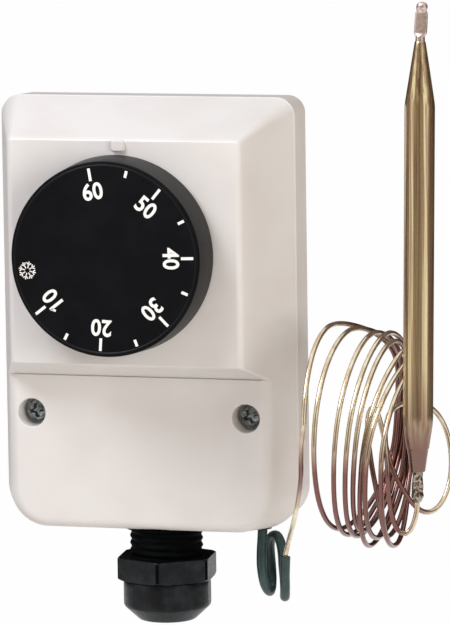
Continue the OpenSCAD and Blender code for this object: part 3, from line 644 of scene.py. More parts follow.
@dataclass
class Studio:
    """A pale floor, soft lamps, the white surround and the cards that metal mirrors."""

    floor_height: float = -150.0
    floor_size: float = 12000.0
    surround: str = "#F5EBE3"
    surround_strength: float = 0.49
    lamps: dict[str, tuple[Point, float, float, str, bool]] = field(default_factory=lambda: {
        "key": ((-150.0, -225.0, 305.0), 180.0, 1.21, "#F0F5FF", True),
        "table": ((10.0, -300.0, -240.0), 260.0, 0.5, "#FFF1E6", False),
        "side": ((490.0, -355.0, 95.0), 320.0, 2.1, "#FFFBF6", False),
    })
    cards: list[tuple[float, float, str]] = field(default_factory=lambda: [
        (-180.0, -100.0, "#4A382E"), (-100.0, -82.0, "#8A7768"), (-44.0, -22.0, "#8E7D6E"),
        (-22.0, -11.0, "#4E3C33"), (-11.0, 26.0, "#94846F"), (64.0, 104.0, "#84705F"), (104.0, 180.0, "#3B2B24")])
    card_distance: float = 640.0

    def build(self) -> None:
        """Makes the world, the floor, the cards and the lamps."""
        self.world()
        self.floor()
        for i, (start, end, colour) in enumerate(self.cards):
            self.card(f"card_{i}", start, end, colour)
        for name, setting in self.lamps.items():
            self.lamp(name, *setting)
        bpy.context.scene.view_settings.view_transform = "Standard"

    def shown(self, tree: bpy.types.NodeTree) -> bpy.types.NodeSocket:
        """Tells the rays that show the background: the camera's, and those of mirrors and glass."""
        path = add_node(tree, "ShaderNodeLightPath")
        seen = add_node(tree, "ShaderNodeMath", {"operation": "MAXIMUM"},
                        {0: path.outputs["Is Camera Ray"], 1: path.outputs["Is Glossy Ray"]})
        return add_node(tree, "ShaderNodeMath", {"operation": "MAXIMUM"},
                        {0: seen.outputs[0], 1: path.outputs["Is Transmission Ray"]}).outputs[0]

    def world(self) -> None:
        """Makes a surround that is white to the camera and to mirrors, and softer as a lamp."""
        world = bpy.data.worlds.new("studio")
        world.use_nodes = True
        tree = world.node_tree
        tree.nodes.clear()
        soft = add_node(tree, "ShaderNodeBackground",
                        {"Color": linear(self.surround), "Strength": self.surround_strength})
        white = add_node(tree, "ShaderNodeBackground", {"Color": (1, 1, 1, 1), "Strength": 1.0})
        mix = add_node(tree, "ShaderNodeMixShader", None,
                       {0: self.shown(tree), 1: soft.outputs[0], 2: white.outputs[0]})
        add_node(tree, "ShaderNodeOutputWorld", None, {"Surface": mix.outputs[0]})
        bpy.context.scene.world = world

    def floor(self) -> None:
        """Makes the floor, which shows near white and still takes a faint soft shadow."""
        half = self.floor_size / 2
        z = self.floor_height
        floor = mesh_object("floor", [(-half, -half, z), (half, -half, z), (half, half, z), (-half, half, z)],
                            [(0, 1, 2, 3)])
        paint = bpy.data.materials.new("floor_paint")
        paint.use_nodes = True
        tree = paint.node_tree
        shader = tree.nodes["Principled BSDF"]
        shader.inputs["Base Color"].default_value = linear("#F3F1EF")
        shader.inputs["Roughness"].default_value = 0.9
        glow = add_node(tree, "ShaderNodeEmission", {"Color": (1, 1, 1, 1), "Strength": 1.0})
        share = add_node(tree, "ShaderNodeMath", {"operation": "MULTIPLY", 1: 0.985}, {0: self.shown(tree)})
        mix = add_node(tree, "ShaderNodeMixShader", None,
                       {0: share.outputs[0], 1: shader.outputs[0], 2: glow.outputs[0]})
        output = next(n for n in tree.nodes if n.type == "OUTPUT_MATERIAL")
        tree.links.new(mix.outputs[0], output.inputs["Surface"])
        floor.data.materials.append(paint)

    def card(self, name: str, start: float, end: float, colour: str) -> None:
        """Stands one curved card beside the object, which only mirrors see, so that metal gets dark bands.

        Args:
            name: The card's name.
            start: Angle at which it starts, from straight ahead towards the left, in degrees.
            end: Angle at which it ends.
            colour: Its colour, in hex.
        """
        steps = max(2, round((end - start) / 6))
        angles = [math.radians(start + (end - start) * i / steps) for i in range(steps + 1)]
        points = [(-math.sin(a) * self.card_distance, -math.cos(a) * self.card_distance, z)
                  for z in (-148.0, 520.0) for a in angles]
        faces = [(i, i + 1, i + steps + 2, i + steps + 1) for i in range(steps)]
        card = mesh_object(name, points, faces)
        felt = bpy.data.materials.new(name)
        felt.use_nodes = True
        tree = felt.node_tree
        tree.nodes.clear()
        glow = add_node(tree, "ShaderNodeEmission", {"Color": linear(colour), "Strength": 1.0})
        add_node(tree, "ShaderNodeOutputMaterial", None, {"Surface": glow.outputs[0]})
        card.data.materials.append(felt)
        card.visible_camera = card.visible_diffuse = card.visible_shadow = False
        card.visible_transmission = card.visible_volume_scatter = False

    def lamp(self, name: str, place: Point, size: float, power: float, colour: str, mirrored: bool) -> None:
        """Places one square lamp that looks at the object.

        Args:
            name: The lamp's name.
            place: Its place, in millimetres.
            size: Its side, in millimetres.
            power: Its power, in watts.
            colour: Its colour, in hex.
            mirrored: Whether shiny surfaces mirror it.
        """
        data = bpy.data.lights.new(name, "AREA")
        data.shape = "SQUARE"
        data.size = size * MM
        data.energy = power
        data.color = linear(colour)[:3]
        lamp = bpy.data.objects.new(name, data)
        lamp.location = Vector(place) * MM
        lamp.visible_glossy = mirrored
        lamp.rotation_mode = "QUATERNION"
        lamp.rotation_quaternion = (Vector((15, -20, 0)) - Vector(place)).to_track_quat("-Z", "Y")
        bpy.context.scene.collection.objects.link(lamp)


@dataclass
class Capillary:
    """The capillary: one thin tube from the housing through its sleeve and the coil to the bulb."""

    radius: float = 0.52
    sleeve_radius: float = 1.02
    sleeve_route: list[Point] = field(default_factory=lambda: [
        (22.5, -6.5, -44.3), (22.5, -6.6, -45.8), (22.6, -7.4, -47.8), (22.8, -8.7, -50),
        (23, -9.5, -52.6), (23.3, -9.5, -55.2), (23.6, -8.6, -57.3), (23.9, -6.8, -58.6),
        (23.7, -4.8, -58.2), (23.4, -3.2, -56.5), (23.1, -2.5, -54), (22.9, -2.4, -51.4),
        (23, -2.8, -49.2), (23.7, -3.7, -47.6), (25, -4.7, -47.2), (25.9, -5.2, -48.4),
        (26.3, -5.2, -50.6), (26.3, -4.7, -53.2), (26.4, -4.3, -55.8), (26.6, -4.6, -58),
        (27, -6, -59.5), (27.4, -7.7, -59.3), (27.8, -8.8, -57.6), (27.9, -9.2, -55),
        (28, -9.3, -52.8), (28.1, -9.3, -50.7)])
    lead_route: list[Point] = field(default_factory=lambda: [
        (28.9, -10.7, -48.5), (29.9, -12.8, -46.4), (31.1, -15.4, -44.3),
        (32.4, -18.5, -42.1), (33.8, -21.9, -39.6), (35.2, -25.4, -37.1), (36.5, -28.9, -34.5),
        (37.8, -32.5, -31.8), (39, -36.1, -29), (40, -39.6, -26), (40.9, -42.6, -22.5),
        (41.8, -44.2, -18.6)])
    fronts: list[Point] = field(default_factory=lambda: [
        (41.9, -44.8, -20.7), (44.2, -45.2, -21.2), (48.4, -45, -22), (50.9, -45.2, -22.2),
        (52.4, -44.4, -22.6), (53.6, -43, -23.4), (55, -45, -23.6), (58, -45, -24)])
    tops: list[Point] = field(default_factory=lambda: [
        (42.6, -23.1, 0), (46.5, -22.8, -0.9), (50.9, -23.1, -1.6), (53.6, -22.5, -1.7),
        (54.9, -23.6, -3.2), (58, -23.1, -4.3), (58.8, -23.6, -6.6), (59.2, -24, -8.6)])
    rears: list[Point] = field(default_factory=lambda: [
        (50.4, -1.5, -20.8), (51.4, -1.7, -21.8), (50.9, -3.1, -22.2), (52, -2.2, -22.2),
        (52.6, -3.6, -23.6), (53.2, -2.4, -23.7), (53.8, -4, -25.6), (54.6, -5, -26)])
    bottoms: list[Point] = field(default_factory=lambda: [
        (44.7, -23.1, -41.6), (46.4, -23.4, -42.7), (48, -22.8, -43), (49.2, -23.4, -41.8),
        (50.4, -23.4, -44.9), (52, -22.8, -43.2), (55.4, -23.1, -44.7), (54, -24, -43)])
    loose_turn: list[Point] = field(default_factory=lambda: [
        (55.2, -31, -41.6), (55.9, -37, -37.5), (55.9, -40.6, -31.5), (54.9, -41, -25.5),
        (53.6, -38.8, -19.2), (53.1, -35.6, -15.6), (53.7, -32.8, -15.2), (54.5, -31.4, -19),
        (55.4, -30.6, -24), (56.7, -30, -29), (58.7, -29.2, -33), (60.6, -27.6, -36.2),
        (62.3, -25.4, -37.7), (64, -22.8, -37), (65.3, -20.2, -34), (65.7, -18.2, -29.6),
        (65.2, -17, -25), (63.9, -17, -20.6), (62, -18.5, -17.4), (59.9, -21.8, -15.8),
        (58.2, -26.5, -15.2), (57.4, -31.5, -15.3), (57.3, -36.5, -16.4), (57.8, -41, -19),
        (58.7, -44, -22.5)])
    tail_route: list[Point] = field(default_factory=lambda: [
        (59.2, -45, -26), (59.2, -44.8, -28.6), (59.3, -44.4, -31.2), (59.5, -44, -33.8),
        (59.9, -43.6, -36.2), (60.8, -43.2, -38.2), (62.1, -42.8, -38.9), (63.3, -42.4, -37.9),
        (64, -42.2, -36), (64.4, -42, -34), (64.4, -42, -32.6)])
    turn_steps: int = 6
    lean: float = 0.22
    spacing: float = 1.1
    step: float = 1.0

    def coil(self) -> list[Point]:
        """Works out the turns: a quarter of an ellipse between each two neighbours of the quarter points.

        Returns:
            Points along the turns, from the first turn's front side to the last one's bottom.
        """
        quarters = [np.array(p) for four in zip(self.fronts, self.tops, self.rears, self.bottoms) for p in four]
        points = []
        for i in range(len(quarters) - 1):
            a, b = quarters[i], quarters[i + 1]
            before, after = quarters[max(i - 1, 0)], quarters[min(i + 2, len(quarters) - 1)]
            for k in range(self.turn_steps):
                t = k / self.turn_steps
                quick, slow = math.sin(t * math.pi / 2), 1 - math.cos(t * math.pi / 2)
                x = 0.5 * (2 * a[0] + (b[0] - before[0]) * t
                           + (2 * before[0] - 5 * a[0] + 4 * b[0] - after[0]) * t ** 2
                           + (3 * a[0] - before[0] - 3 * b[0] + after[0]) * t ** 3)
                across, rise = (slow, quick) if i % 2 == 0 else (quick, slow)
                if i % 4 == 1:
                    x += (58.0 - a[0]) * self.lean * math.sin(t * math.pi) ** 2
                points.append((x, a[1] + (b[1] - a[1]) * across, a[2] + (b[2] - a[2]) * rise))
        points.append(tuple(quarters[-1]))
        return points[1:]

    def line(self) -> np.ndarray:
        """Joins all the stretches and eases turns that touch apart.

        Returns:
            The whole centre line, in millimetres.
        """
        route = [*self.sleeve_route, *self.lead_route, *self.coil(), *self.loose_turn, *self.tail_route]
        line = along(np.array(route, float), self.step)
        fixed = len(along(np.array([*self.sleeve_route, *self.lead_route[:6]], float), self.step))
        free = slice(fixed, len(line) - len(self.tail_route))
        apart = np.abs(np.subtract.outer(np.arange(len(line)), np.arange(len(line)))) > 6
        for _ in range(60):
            gap = line[:, None] - line[None]
            distance = np.linalg.norm(gap, axis=2)
            close = apart & (distance < self.spacing * 2 * self.radius)
            if not close.any():
                break
            push = np.where(close, (self.spacing * 2 * self.radius - distance) / np.maximum(distance, 0.05), 0)
            move = (gap * push[..., None]).sum(axis=1) * 0.4
            spread = np.copy(move)
            for shift in range(1, 5):
                spread[shift:] += move[:-shift] * (1 - shift / 5)
                spread[:-shift] += move[shift:] * (1 - shift / 5)
            line[free] += spread[free] * 0.5
        for _ in range(3):
            eased = line.copy()
            eased[1:-1] = line[1:-1] * 0.5 + (line[:-2] + line[2:]) * 0.25
            line[free] = eased[free]
        return line

    def build(self) -> None:
        line = self.line()
        data = bpy.data.curves.new("capillary", "CURVE")
        data.dimensions = "3D"
        data.bevel_depth = self.radius * MM
        data.bevel_resolution = 3
        data.use_fill_caps = True
        spline = data.splines.new("POLY")
        spline.points.add(len(line) - 1)
        for spot, place in zip(spline.points, line):
            spot.co = (*(place * MM), 1.0)
        spline.use_smooth = True
        cord = bpy.data.objects.new("capillary", data)
        bpy.context.scene.collection.objects.link(cord)
        # Its finish carries painted shade: red-brown on the lower turns and the rear strands of the coil.
        dress(cord, CAPILLARY_COPPER, "housing",
              ("capillary_lead", "capillary_coil", "capillary_tail"))
        sleeve_line = along(np.array(self.sleeve_route, float), 0.5)
        sleeve = tube("capillary_sleeve", sleeve_line, self.sleeve_radius, self.radius + 0.06, 20)
        sharpen(sleeve)
        dress(sleeve, SLEEVE_PVC, "housing", ("sleeve",))


@dataclass
class SensingBulb:
    """The sensing bulb, its soldered neck and its pinched filling tube, on one leaning axis."""

    foot: Point = (64.7, -42.0, -20.8)
    head: Point = (65.8, -42.0, 49.6)
    radius: float = 3.0
    length: float = 68.0
    cone: float = 12.0

    def axis(self) -> Matrix:
        """Places the bulb's own axis, with height 0 at the foot, in the frame."""
        lean = math.atan2(self.head[0] - self.foot[0], self.head[2] - self.foot[2])
        return Matrix.Translation(self.foot) @ Matrix.Rotation(lean, 4, "Y")

    def build(self) -> None:
        """Makes the three pieces."""
        place = self.axis()
        top = self.length + self.cone
        body = turned("sensing_bulb", rounded([
            (0, -5.6, 0), (1.5, -5.6, 0.1), (2.12, -1.05, 0.1), (2.27, -0.9, 0.05), (2.3, -0.6, 0.1),
            (3.0, 4.2, 1.2), (3.0, self.length - 0.6, 0.5), (2.7, self.length + 1.4, 0.6),
            (1.12, top - 0.4, 0.3), (0.95, top, 0.1), (0, top, 0)]), place, 96)
        dress(body, BULB_COPPER, "housing", ("bulb",))
        self.neck(place)
        self.pinch(place, top)

    def neck(self, place: Matrix) -> None:
        """Makes the lumpy solder between the bulb and the capillary.

        Args:
            place: The bulb's axis.
        """
        rows = []
        for i in range(36):
            height = -5.5 - i * 6.2 / 35
            share = i / 35
            bead = 0.16 * math.exp(-((share - 0.8) / 0.09) ** 2)
            radius = 1.12 - 0.14 * math.sin(share * 9.0) * (1 - share) - 0.4 * max(0.0, share - 0.85) / 0.15 + bead
            row = []
            for k in range(32):
                angle = math.tau * k / 32
                lump = noise.noise(Vector((math.cos(angle) * 1.6, math.sin(angle) * 1.6, height * 1.3)))
                r = max(0.62, radius + 0.22 * lump * math.sin(math.pi * min(1.0, share * 1.1 + 0.05)))
                row.append(place @ Vector((r * math.cos(angle), r * math.sin(angle), height)))
            rows.append(row)
        dress(rings("bulb_neck", rows), SOLDER, "housing", ("bulb_ferrule",))

    def pinch(self, place: Matrix, top: float) -> None:
        """Makes the filling tube: round at its foot, pinched flat, and closed with a bead.

        Args:
            place: The bulb's axis.
            top: Height of the tube's foot.
        """
        stations = [(-0.2, 0.98, 0.98), (0.4, 0.92, 0.96), (0.9, 0.94, 0.9), (1.3, 1.14, 0.68), (1.6, 1.26, 0.56),
                    (3.4, 1.26, 0.46), (5.2, 1.22, 0.46), (5.62, 1.2, 0.48), (5.7, 0.98, 0.5), (5.85, 0.97, 0.6),
                    (6.1, 1.05, 0.82), (6.6, 1.14, 1.0), (7.05, 1.06, 0.98), (7.45, 0.78, 0.74),
                    (7.65, 0.42, 0.4), (7.7, 0.02, 0.02)]
        fine = np.array(stations)
        heights = np.linspace(fine[0, 0], fine[-1, 0], 60)
        rows = []
        for height in heights:
            wide, deep = (float(np.interp(height, fine[:, 0], fine[:, c])) for c in (1, 2))
            lean = 0.055 * max(0.0, height - 1.0)
            square = 2.0 + 4.0 * max(0.0, min(1.0, 2.6 - abs(height - 3.5)))
            row = []
            for k in range(36):
                angle = math.tau * k / 36
                c, s = math.cos(angle), math.sin(angle)
                x = math.copysign(abs(c) ** (2 / square), c) * wide + lean
                y = math.copysign(abs(s) ** (2 / square), s) * deep
                dent = 0.03 * noise.noise(Vector((x * 2, y * 2, height * 1.7)))
                row.append(place @ Vector((x * (1 + dent), y * (1 + dent), top + height)))
            rows.append(row)
        dress(rings("pinched_tube", rows), PINCHED_COPPER, "housing", ("filling_tube",))


@dataclass
class Housing:
    """Base and cover, both in the same moulded plastic. The cover has its hood, step, wells and index."""

    width: float = 63.0
    height: float = 89.4
    parting: float = 10.4
    panel: float = 20.0
    hood: float = 28.0
    face_width: float = 49.2
    face_top: float = 37.4
    face_foot: float = -9.0
    step_drop: float = 3.2
    corner_top: float = 4.0
    corner_low: float = 8.0
    hood_round: float = 1.0
    panel_round: float = 1.8
    top_edge: float = 0.35
    low_edge: float = 0.3
    line: Point = (27.0, 0.24, 0.4)
    groove: float = 0.4
    draft: float = 0.4
    well: tuple[float, float, float, float] = (23.0, -20.4, 2.95, 14.6)
    index: tuple[float, float, float, float, float] = (-0.8, 35.0, 2.8, 2.4, 0.8)
    corner_steps: int = 12
    edge_steps: int = 7

    def outline(self, depth: float, inset: float, top_inset: float, low: float, corners: Point) -> list[Point]:
        """Gives the housing's outline at one depth.

        Args:
            depth: Distance from the wall.
            inset: How far the sides are drawn in.
            top_inset: How far the top is drawn in.
            low: Height of the lower edge.
            corners: Radius of the upper corners, of the lower ones, and how far the sides stand proud.

        Returns:
            The points of the outline.
        """
        past = max(0.0, depth - self.parting)
        run = self.hood - self.parting
        wide = self.width / 2 - past * (self.width - self.face_width) / 2 / run - inset + corners[2]
        up = self.height / 2 - past * (self.height / 2 - self.face_top) / run - top_inset + corners[2]
        down = low
        made = []
        for sx, sz, radius, start in ((1, 1, corners[0], 0), (-1, 1, corners[0], 90), (-1, -1, corners[1], 180),
                                      (1, -1, corners[1], 270)):
            cx, cz = sx * (wide - radius), (up - radius if sz > 0 else down + radius)
            for i in range(self.corner_steps + 1):
                angle = math.radians(start + 90 * i / self.corner_steps)
                made.append((cx + radius * math.cos(angle), -depth, cz + radius * math.sin(angle)))
        return made

    def edge_rows(self, top: float, rounding: float) -> list[tuple[float, float]]:
        """Gives depth and inset of the rows that round a front edge."""
        angles = [math.radians(90 * i / self.edge_steps) for i in range(self.edge_steps + 1)]
        rows = [(top - rounding * (1 - math.sin(a)), rounding * (1 - math.cos(a))) for a in angles]
        return [*rows, (top, rounding + 0.12)]

    def lower_body(self) -> bpy.types.Object:
        """Makes the cover's body with the lower panel and the two screw wells."""
        def low(depth: float) -> float:
            """Gives the height of the bottom at one depth."""
            return -self.height / 2 + max(0.0, depth - self.parting) / (self.panel - self.parting) * self.draft
        rows = [self.outline(self.parting, self.groove, self.groove, low(self.parting) + self.groove, (3.6, 7.6, 0.0)),
                self.outline(self.parting + self.groove, 0.0, 0.0, low(self.parting), (4.0, 8.0, 0.0))]
        for depth, inset in self.edge_rows(self.panel, self.panel_round):
            rows.append(self.outline(depth, inset, inset, low(depth) + inset, (4.0 - inset, 8.0 - inset, 0.0)))
        body = rings("cover_shell", rows)
        self.carve(body, [self.well_cutter(-1), self.well_cutter(1), self.line_cutter()])
        return body

    @staticmethod
    def carve(body: bpy.types.Object, cutters: Sequence[bpy.types.Object]) -> None:
        """Takes the cutters' shapes out of a piece and clears the cutters away.

        Args:
            body: The piece.
            cutters: The shapes to take out.
        """
        for cutter in cutters:
            cut = body.modifiers.new("carve", "BOOLEAN")
            cut.object, cut.solver = cutter, "EXACT"
        carved = bpy.data.meshes.new_from_object(body.evaluated_get(bpy.context.evaluated_depsgraph_get()))
        body.modifiers.clear()
        body.data = carved
        for cutter in cutters:
            bpy.data.objects.remove(cutter)

    def well_cutter(self, side: int) -> bpy.types.Object:
        """Makes the shape of one screw well: -1 is the left one, 1 the right one."""
        across, height, radius, seat = self.well
        place = Matrix.Translation((side * across, 0, height)) @ Matrix.Rotation(math.pi / 2, 4, "X")
        return turned("well_cutter", [(0, self.panel + 1), (radius + 1.16, self.panel + 1), (radius + 0.16, self.panel),
                                      (radius, self.panel - 0.16), (radius - 0.05, seat), (0, seat)], place, 72)

    def line_cutter(self) -> bpy.types.Object:
        """Makes the shape of the fine groove where the hood's foot meets the panel."""
        half, wide, deep = self.line
        foot = self.face_foot - self.step_drop
        corners = ((-half, foot - wide), (half, foot - wide), (half, foot + 0.6), (-half, foot + 0.6))
        return rings("line_cutter", [[(x, -depth, z) for x, z in corners]
                                     for depth in (self.panel - deep, self.panel + 1)])

    def hood_body(self) -> bpy.types.Object:
        """Makes the dial hood, crisp along its top edge and softer at its sides."""
        run = self.hood - self.parting

        def row(depth: float, edge: float, groove: float) -> list[Point]:
            """Gives one row of the hood."""
            share = (depth - self.parting) / run
            low = self.face_foot - (self.hood - depth) * self.step_drop / (self.hood - self.panel)
            radius = max(0.5, self.corner_top * (1 - share) + share - edge - groove)
            return self.outline(depth, edge + groove, edge * self.top_edge + groove,
                                low + edge * self.low_edge, (radius, 0.4, 0.006))
        rows = [row(self.parting, 0.0, self.groove), row(self.parting + self.groove, 0.0, 0.0),
                row(self.panel, 0.0, 0.0)]
        rows += [row(depth, inset, 0.0) for depth, inset in self.edge_rows(self.hood, self.hood_round)]
        return rings("cover_hood", rows)

    def index_mark(self) -> bpy.types.Object:
        """Makes the raised mark above the dial, with slightly rounded edges."""
        x, z, wide, high, rise = self.index
        rows = []
        for depth, inset in ((self.hood - 0.5, 0.0), (self.hood + rise - 0.3, 0.02), (self.hood + rise - 0.12, 0.08),
                             (self.hood + rise - 0.03, 0.18), (self.hood + rise, 0.32)):
            w, h, row = wide / 2 - inset, high - 2 * inset, []
            for cx, cz, start in ((w, z + inset + h, 0), (-w, z + inset + h, 90), (-w, z + inset, 180),
                                  (w, z + inset, 270)):
                sx, sz = (1 if cx > 0 else -1), (-1 if start < 180 else 1)
                for i in range(5):
                    a = math.radians(start + 22.5 * i)
                    row.append((x + cx - sx * 0.55 + 0.55 * math.cos(a), -depth, cz + sz * 0.55 + 0.55 * math.sin(a)))
            rows.append(row)
        return rings("cover_index", rows)

    def build(self, nodes: dict[str, bpy.types.Object]) -> None:
        """Dresses the base and makes the cover.

        Args:
            nodes: The solids, by name.
        """
        dress(nodes["base"], HOUSING_ABS)
        soften(nodes["base"], 0.2)
        shell = self.lower_body()
        for piece in (shell, self.hood_body(), self.index_mark()):
            sharpen(piece, 30.0)
            level = piece.modifiers.new("flat_faces_lead", "WEIGHTED_NORMAL")
            level.keep_sharp = True
            dress(piece, HOUSING_ABS, "housing", ("cover",) if piece is shell else ())


@dataclass
class CoverScrews:
    """The two pan-head screws at the bottom of their wells, with pressed cross recesses."""

    across: float = 23.0
    height: float = -20.4
    seat: float = 14.6
    head_radius: float = 2.35
    head_height: float = 2.2
    arm_length: float = 1.5
    arm_half_width: float = 0.42
    turns: tuple[float, float] = (10.0, 24.0)

    def level(self, x: float, y: float) -> float:
        """Gives the head's height at one place, with its dome and its recess."""
        r = min(1.0, math.hypot(x, y) / self.head_radius)
        dome = self.head_height * (1 - 0.22 * r ** 2) - 0.75 * max(0.0, (r - 0.84) / 0.16) ** 2
        a, b = abs(x), abs(y)
        bar = min(max(a - self.arm_length, b - self.arm_half_width), max(b - self.arm_length, a - self.arm_half_width))
        core = math.hypot(x, y) - 0.75
        inside = max(-bar, -core * 0.8)
        return dome - 0.95 * min(1.0, max(0.0, inside / 0.26))

    def build(self) -> None:
        """Makes both screws."""
        for side, name, turn in ((-1, "left", self.turns[0]), (1, "right", self.turns[1])):
            place = (Matrix.Translation((side * self.across, -self.seat, self.height))
                     @ Matrix.Rotation(math.pi / 2, 4, "X") @ Matrix.Rotation(math.radians(turn), 4, "Z"))
            rows = []
            for i in range(56):
                r = max(0.004, self.head_radius * i / 55)
                spots = [(r * math.cos(math.tau * k / 144), r * math.sin(math.tau * k / 144)) for k in range(144)]
                rows.append([place @ Vector((x, y, self.level(x, y))) for x, y in spots])
            for r, z in ((self.head_radius, 0.0), (1.45, 0.0), (1.45, -8.0)):
                rows.append([place @ Vector((r * math.cos(math.tau * k / 144), r * math.sin(math.tau * k / 144), z))
                             for k in range(144)])
            screw = rings(f"pan_screw_{name}", rows)
            sharpen(screw, 38.0)
            dress(screw, ZINC_STEEL, "housing", (f"cover_screw_{name}",))


class Mark(Enum):
    """What stands at one place of the dial's scale."""

    NUMBER = "number"
    TICK = "tick"
    FROST = "frost"


@dataclass
class Dial:
    """The knob and the scale that is printed on its face."""

    axis_x: float = -1.0
    axis_z: float = 14.1
    foot: float = 29.1
    height: float = 8.9
    foot_radius: float = 20.4
    face_radius: float = 19.9
    chamfer: float = 0.5
    ink: float = 0.05
    stroke: float = 0.58
    marks: list[tuple[Mark, float, str]] = field(default_factory=lambda: [
        (Mark.NUMBER, -9.5, "60"), (Mark.TICK, 15.3, ""), (Mark.NUMBER, 39.5, "50"), (Mark.TICK, 64.2, ""),
        (Mark.NUMBER, 88.2, "40"), (Mark.TICK, 111.4, ""), (Mark.NUMBER, 135.2, "30"), (Mark.TICK, 159.4, ""),
        (Mark.NUMBER, 183.8, "20"), (Mark.TICK, 208.0, ""), (Mark.NUMBER, 232.3, "10"), (Mark.FROST, 261.2, "")])

    def face(self) -> float:
        """Distance of the knob's face from the wall."""
        return self.foot + self.height

    def out_of_wall(self) -> Matrix:
        """Places a piece drawn along Z on the dial's axis, with X to the right and Y up."""
        return Matrix.Translation((self.axis_x, 0, self.axis_z)) @ Matrix.Rotation(math.pi / 2, 4, "X")

    def build(self) -> None:
        """Makes the knob and its scale."""
        face = self.face()
        knob = turned("knob_shell", rounded([
            (5.0, face - 3.0, 0), (self.face_radius - 1.9, face - 2.2, 0.3), (self.foot_radius - 1.8, self.foot, 0.2),
            (self.foot_radius - 0.05, self.foot, 0.25), (self.face_radius, face - self.chamfer, 0.1),
            (self.face_radius - 0.22, face - 0.12, 0.06), (self.face_radius - 0.62, face - 0.1, 0.04),
            (self.face_radius - 0.72, face, 0.04), (self.face_radius - 0.84, face, 0.04),
            (self.face_radius - 0.96, face - 0.1, 0.04), (self.face_radius - 1.3, face - 0.1, 0.0),
            (0, face - 0.1, 0)]), self.out_of_wall(), 192)
        dress(knob, KNOB_ABS, "dial", ("dial_knob",))
        knob.data.materials.append(KNOB_FACE_ABS.material())
        ring = (self.face_radius - 1.0, self.face_radius - 0.6)
        for polygon in knob.data.polygons:
            spot = polygon.center / MM
            if -spot.y > face - 0.3 and not ring[0] < math.hypot(spot.x - self.axis_x, spot.z - self.axis_z) < ring[1]:
                polygon.material_index = 1
        self.scale()

    def scale(self) -> None:
        """Prints the ticks, the numbers and the frost mark as one thin skin of ink."""
        pieces = []
        for kind, clock, text in self.marks:
            if kind is Mark.NUMBER:
                pieces.append(self.bar(clock, 0.808, 0.938, self.stroke))
                pieces.extend(self.number(clock, text))
            elif kind is Mark.TICK:
                pieces.append(self.bar(clock, 0.868, 0.938, self.stroke))
            else:
                pieces.extend(self.frost(clock))
        bpy.ops.object.select_all(action="DESELECT")
        for piece in pieces:
            piece.select_set(True)
        bpy.context.view_layer.objects.active = pieces[0]
        bpy.ops.object.join()
        pieces[0].name = "dial_scale"
        dress(pieces[0], SCALE_INK, "dial")

    def slab(self, name: str, outline: Sequence[tuple[float, float]], turn: float) -> bpy.types.Object:
        """Makes a thin slab of ink on the face.

        Args:
            name: The slab's name.
            outline: Points on the face, with Y towards the mark's own direction.
            turn: Clockwise angle from the top, in degrees.

        Returns:
            The slab.
        """
        place = self.out_of_wall() @ Matrix.Rotation(-math.radians(turn), 4, "Z")
        low, high = self.face() - 0.1, self.face() - 0.1 + self.ink
        rows = [[place @ Vector((x, y, z)) for x, y in outline] for z in (low, high)]
        made = rings(name, rows)
        sharpen(made)
        return made

    def bar(self, clock: float, start: float, end: float, width: float) -> bpy.types.Object:
        """Makes a tick between two shares of the face's radius."""
        a, b, w = start * self.face_radius, end * self.face_radius, width / 2
        return self.slab("tick", [(-w, a), (w, a), (w, b), (-w, b)], clock)

    def number(self, clock: float, text: str) -> list[bpy.types.Object]:
        """Makes a number whose top faces outwards.

        Args:
            clock: Clockwise angle from the top, in degrees.
            text: The number.

        Returns:
            The number's mesh, and the flag of a 1, which the font leaves out.
        """
        data = bpy.data.curves.new("number", "FONT")
        data.body = text
        data.size = 4.65 * MM
        data.offset = 0.11 * MM
        data.space_character = 1.04
        data.align_x, data.align_y = "CENTER", "CENTER"
        data.extrude = self.ink / 2 * MM
        data.resolution_u = 6
        letter = bpy.data.objects.new("number", data)
        bpy.context.scene.collection.objects.link(letter)
        shape = bpy.data.meshes.new_from_object(letter.evaluated_get(bpy.context.evaluated_depsgraph_get()))
        bpy.data.objects.remove(letter)
        out = self.out_of_wall() @ Matrix.Rotation(-math.radians(clock), 4, "Z")
        squeeze = Matrix.Diagonal((0.92, 1.0, 1.0, 1.0))
        middle = 0.692 * self.face_radius
        lift = Matrix.Translation((0, middle, self.face() - 0.1 + self.ink / 2))
        left = min(v.co.x for v in shape.vertices) / MM * 0.92
        top = max(v.co.y for v in shape.vertices) / MM + middle
        scale = Matrix.Scale(1 / MM, 4)
        shape.transform(Matrix.Scale(MM, 4) @ out @ lift @ squeeze @ scale)
        made = bpy.data.objects.new("number", shape)
        bpy.context.scene.collection.objects.link(made)
        if not text.startswith("1"):
            return [made]
        flag = self.stroke_between(Vector((left + 0.25, top - 0.3)), Vector((left - 0.6, top - 0.85)), 0.45, clock)
        return [made, flag]

    def frost(self, clock: float) -> list[bpy.types.Object]:
        """Makes the frost mark: eight short arms with forked ends round an open middle.

        Args:
            clock: Clockwise angle from the top, in degrees.

        Returns:
            The strokes.
        """
        centre = Vector((0, 0.835 * self.face_radius))
        made = []
        for arm in range(8):
            angle = math.radians(arm * 45 + 22.5)
            out = Vector((math.sin(angle), math.cos(angle)))
            for start, end in ((out * 0.5, out * 1.85), *self.forks(out)):
                made.append(self.stroke_between(centre + start, centre + end, 0.22, clock))
        return made

    @staticmethod
    def forks(out: Vector) -> list[tuple[Vector, Vector]]:
        """Gives the two short strokes that fork from one arm."""
        side = Vector((out.y, -out.x))
        return [(out * 1.15, out * 1.6 + side * sign * 0.5) for sign in (-1, 1)]

    def stroke_between(self, a: Vector, b: Vector, width: float, clock: float) -> bpy.types.Object:
        """Makes a stroke of ink between two points of the face."""
        side = Vector((b.y - a.y, a.x - b.x)).normalized() * width / 2
        return self.slab("stroke", [tuple(a - side), tuple(a + side), tuple(b + side), tuple(b - side)], clock)


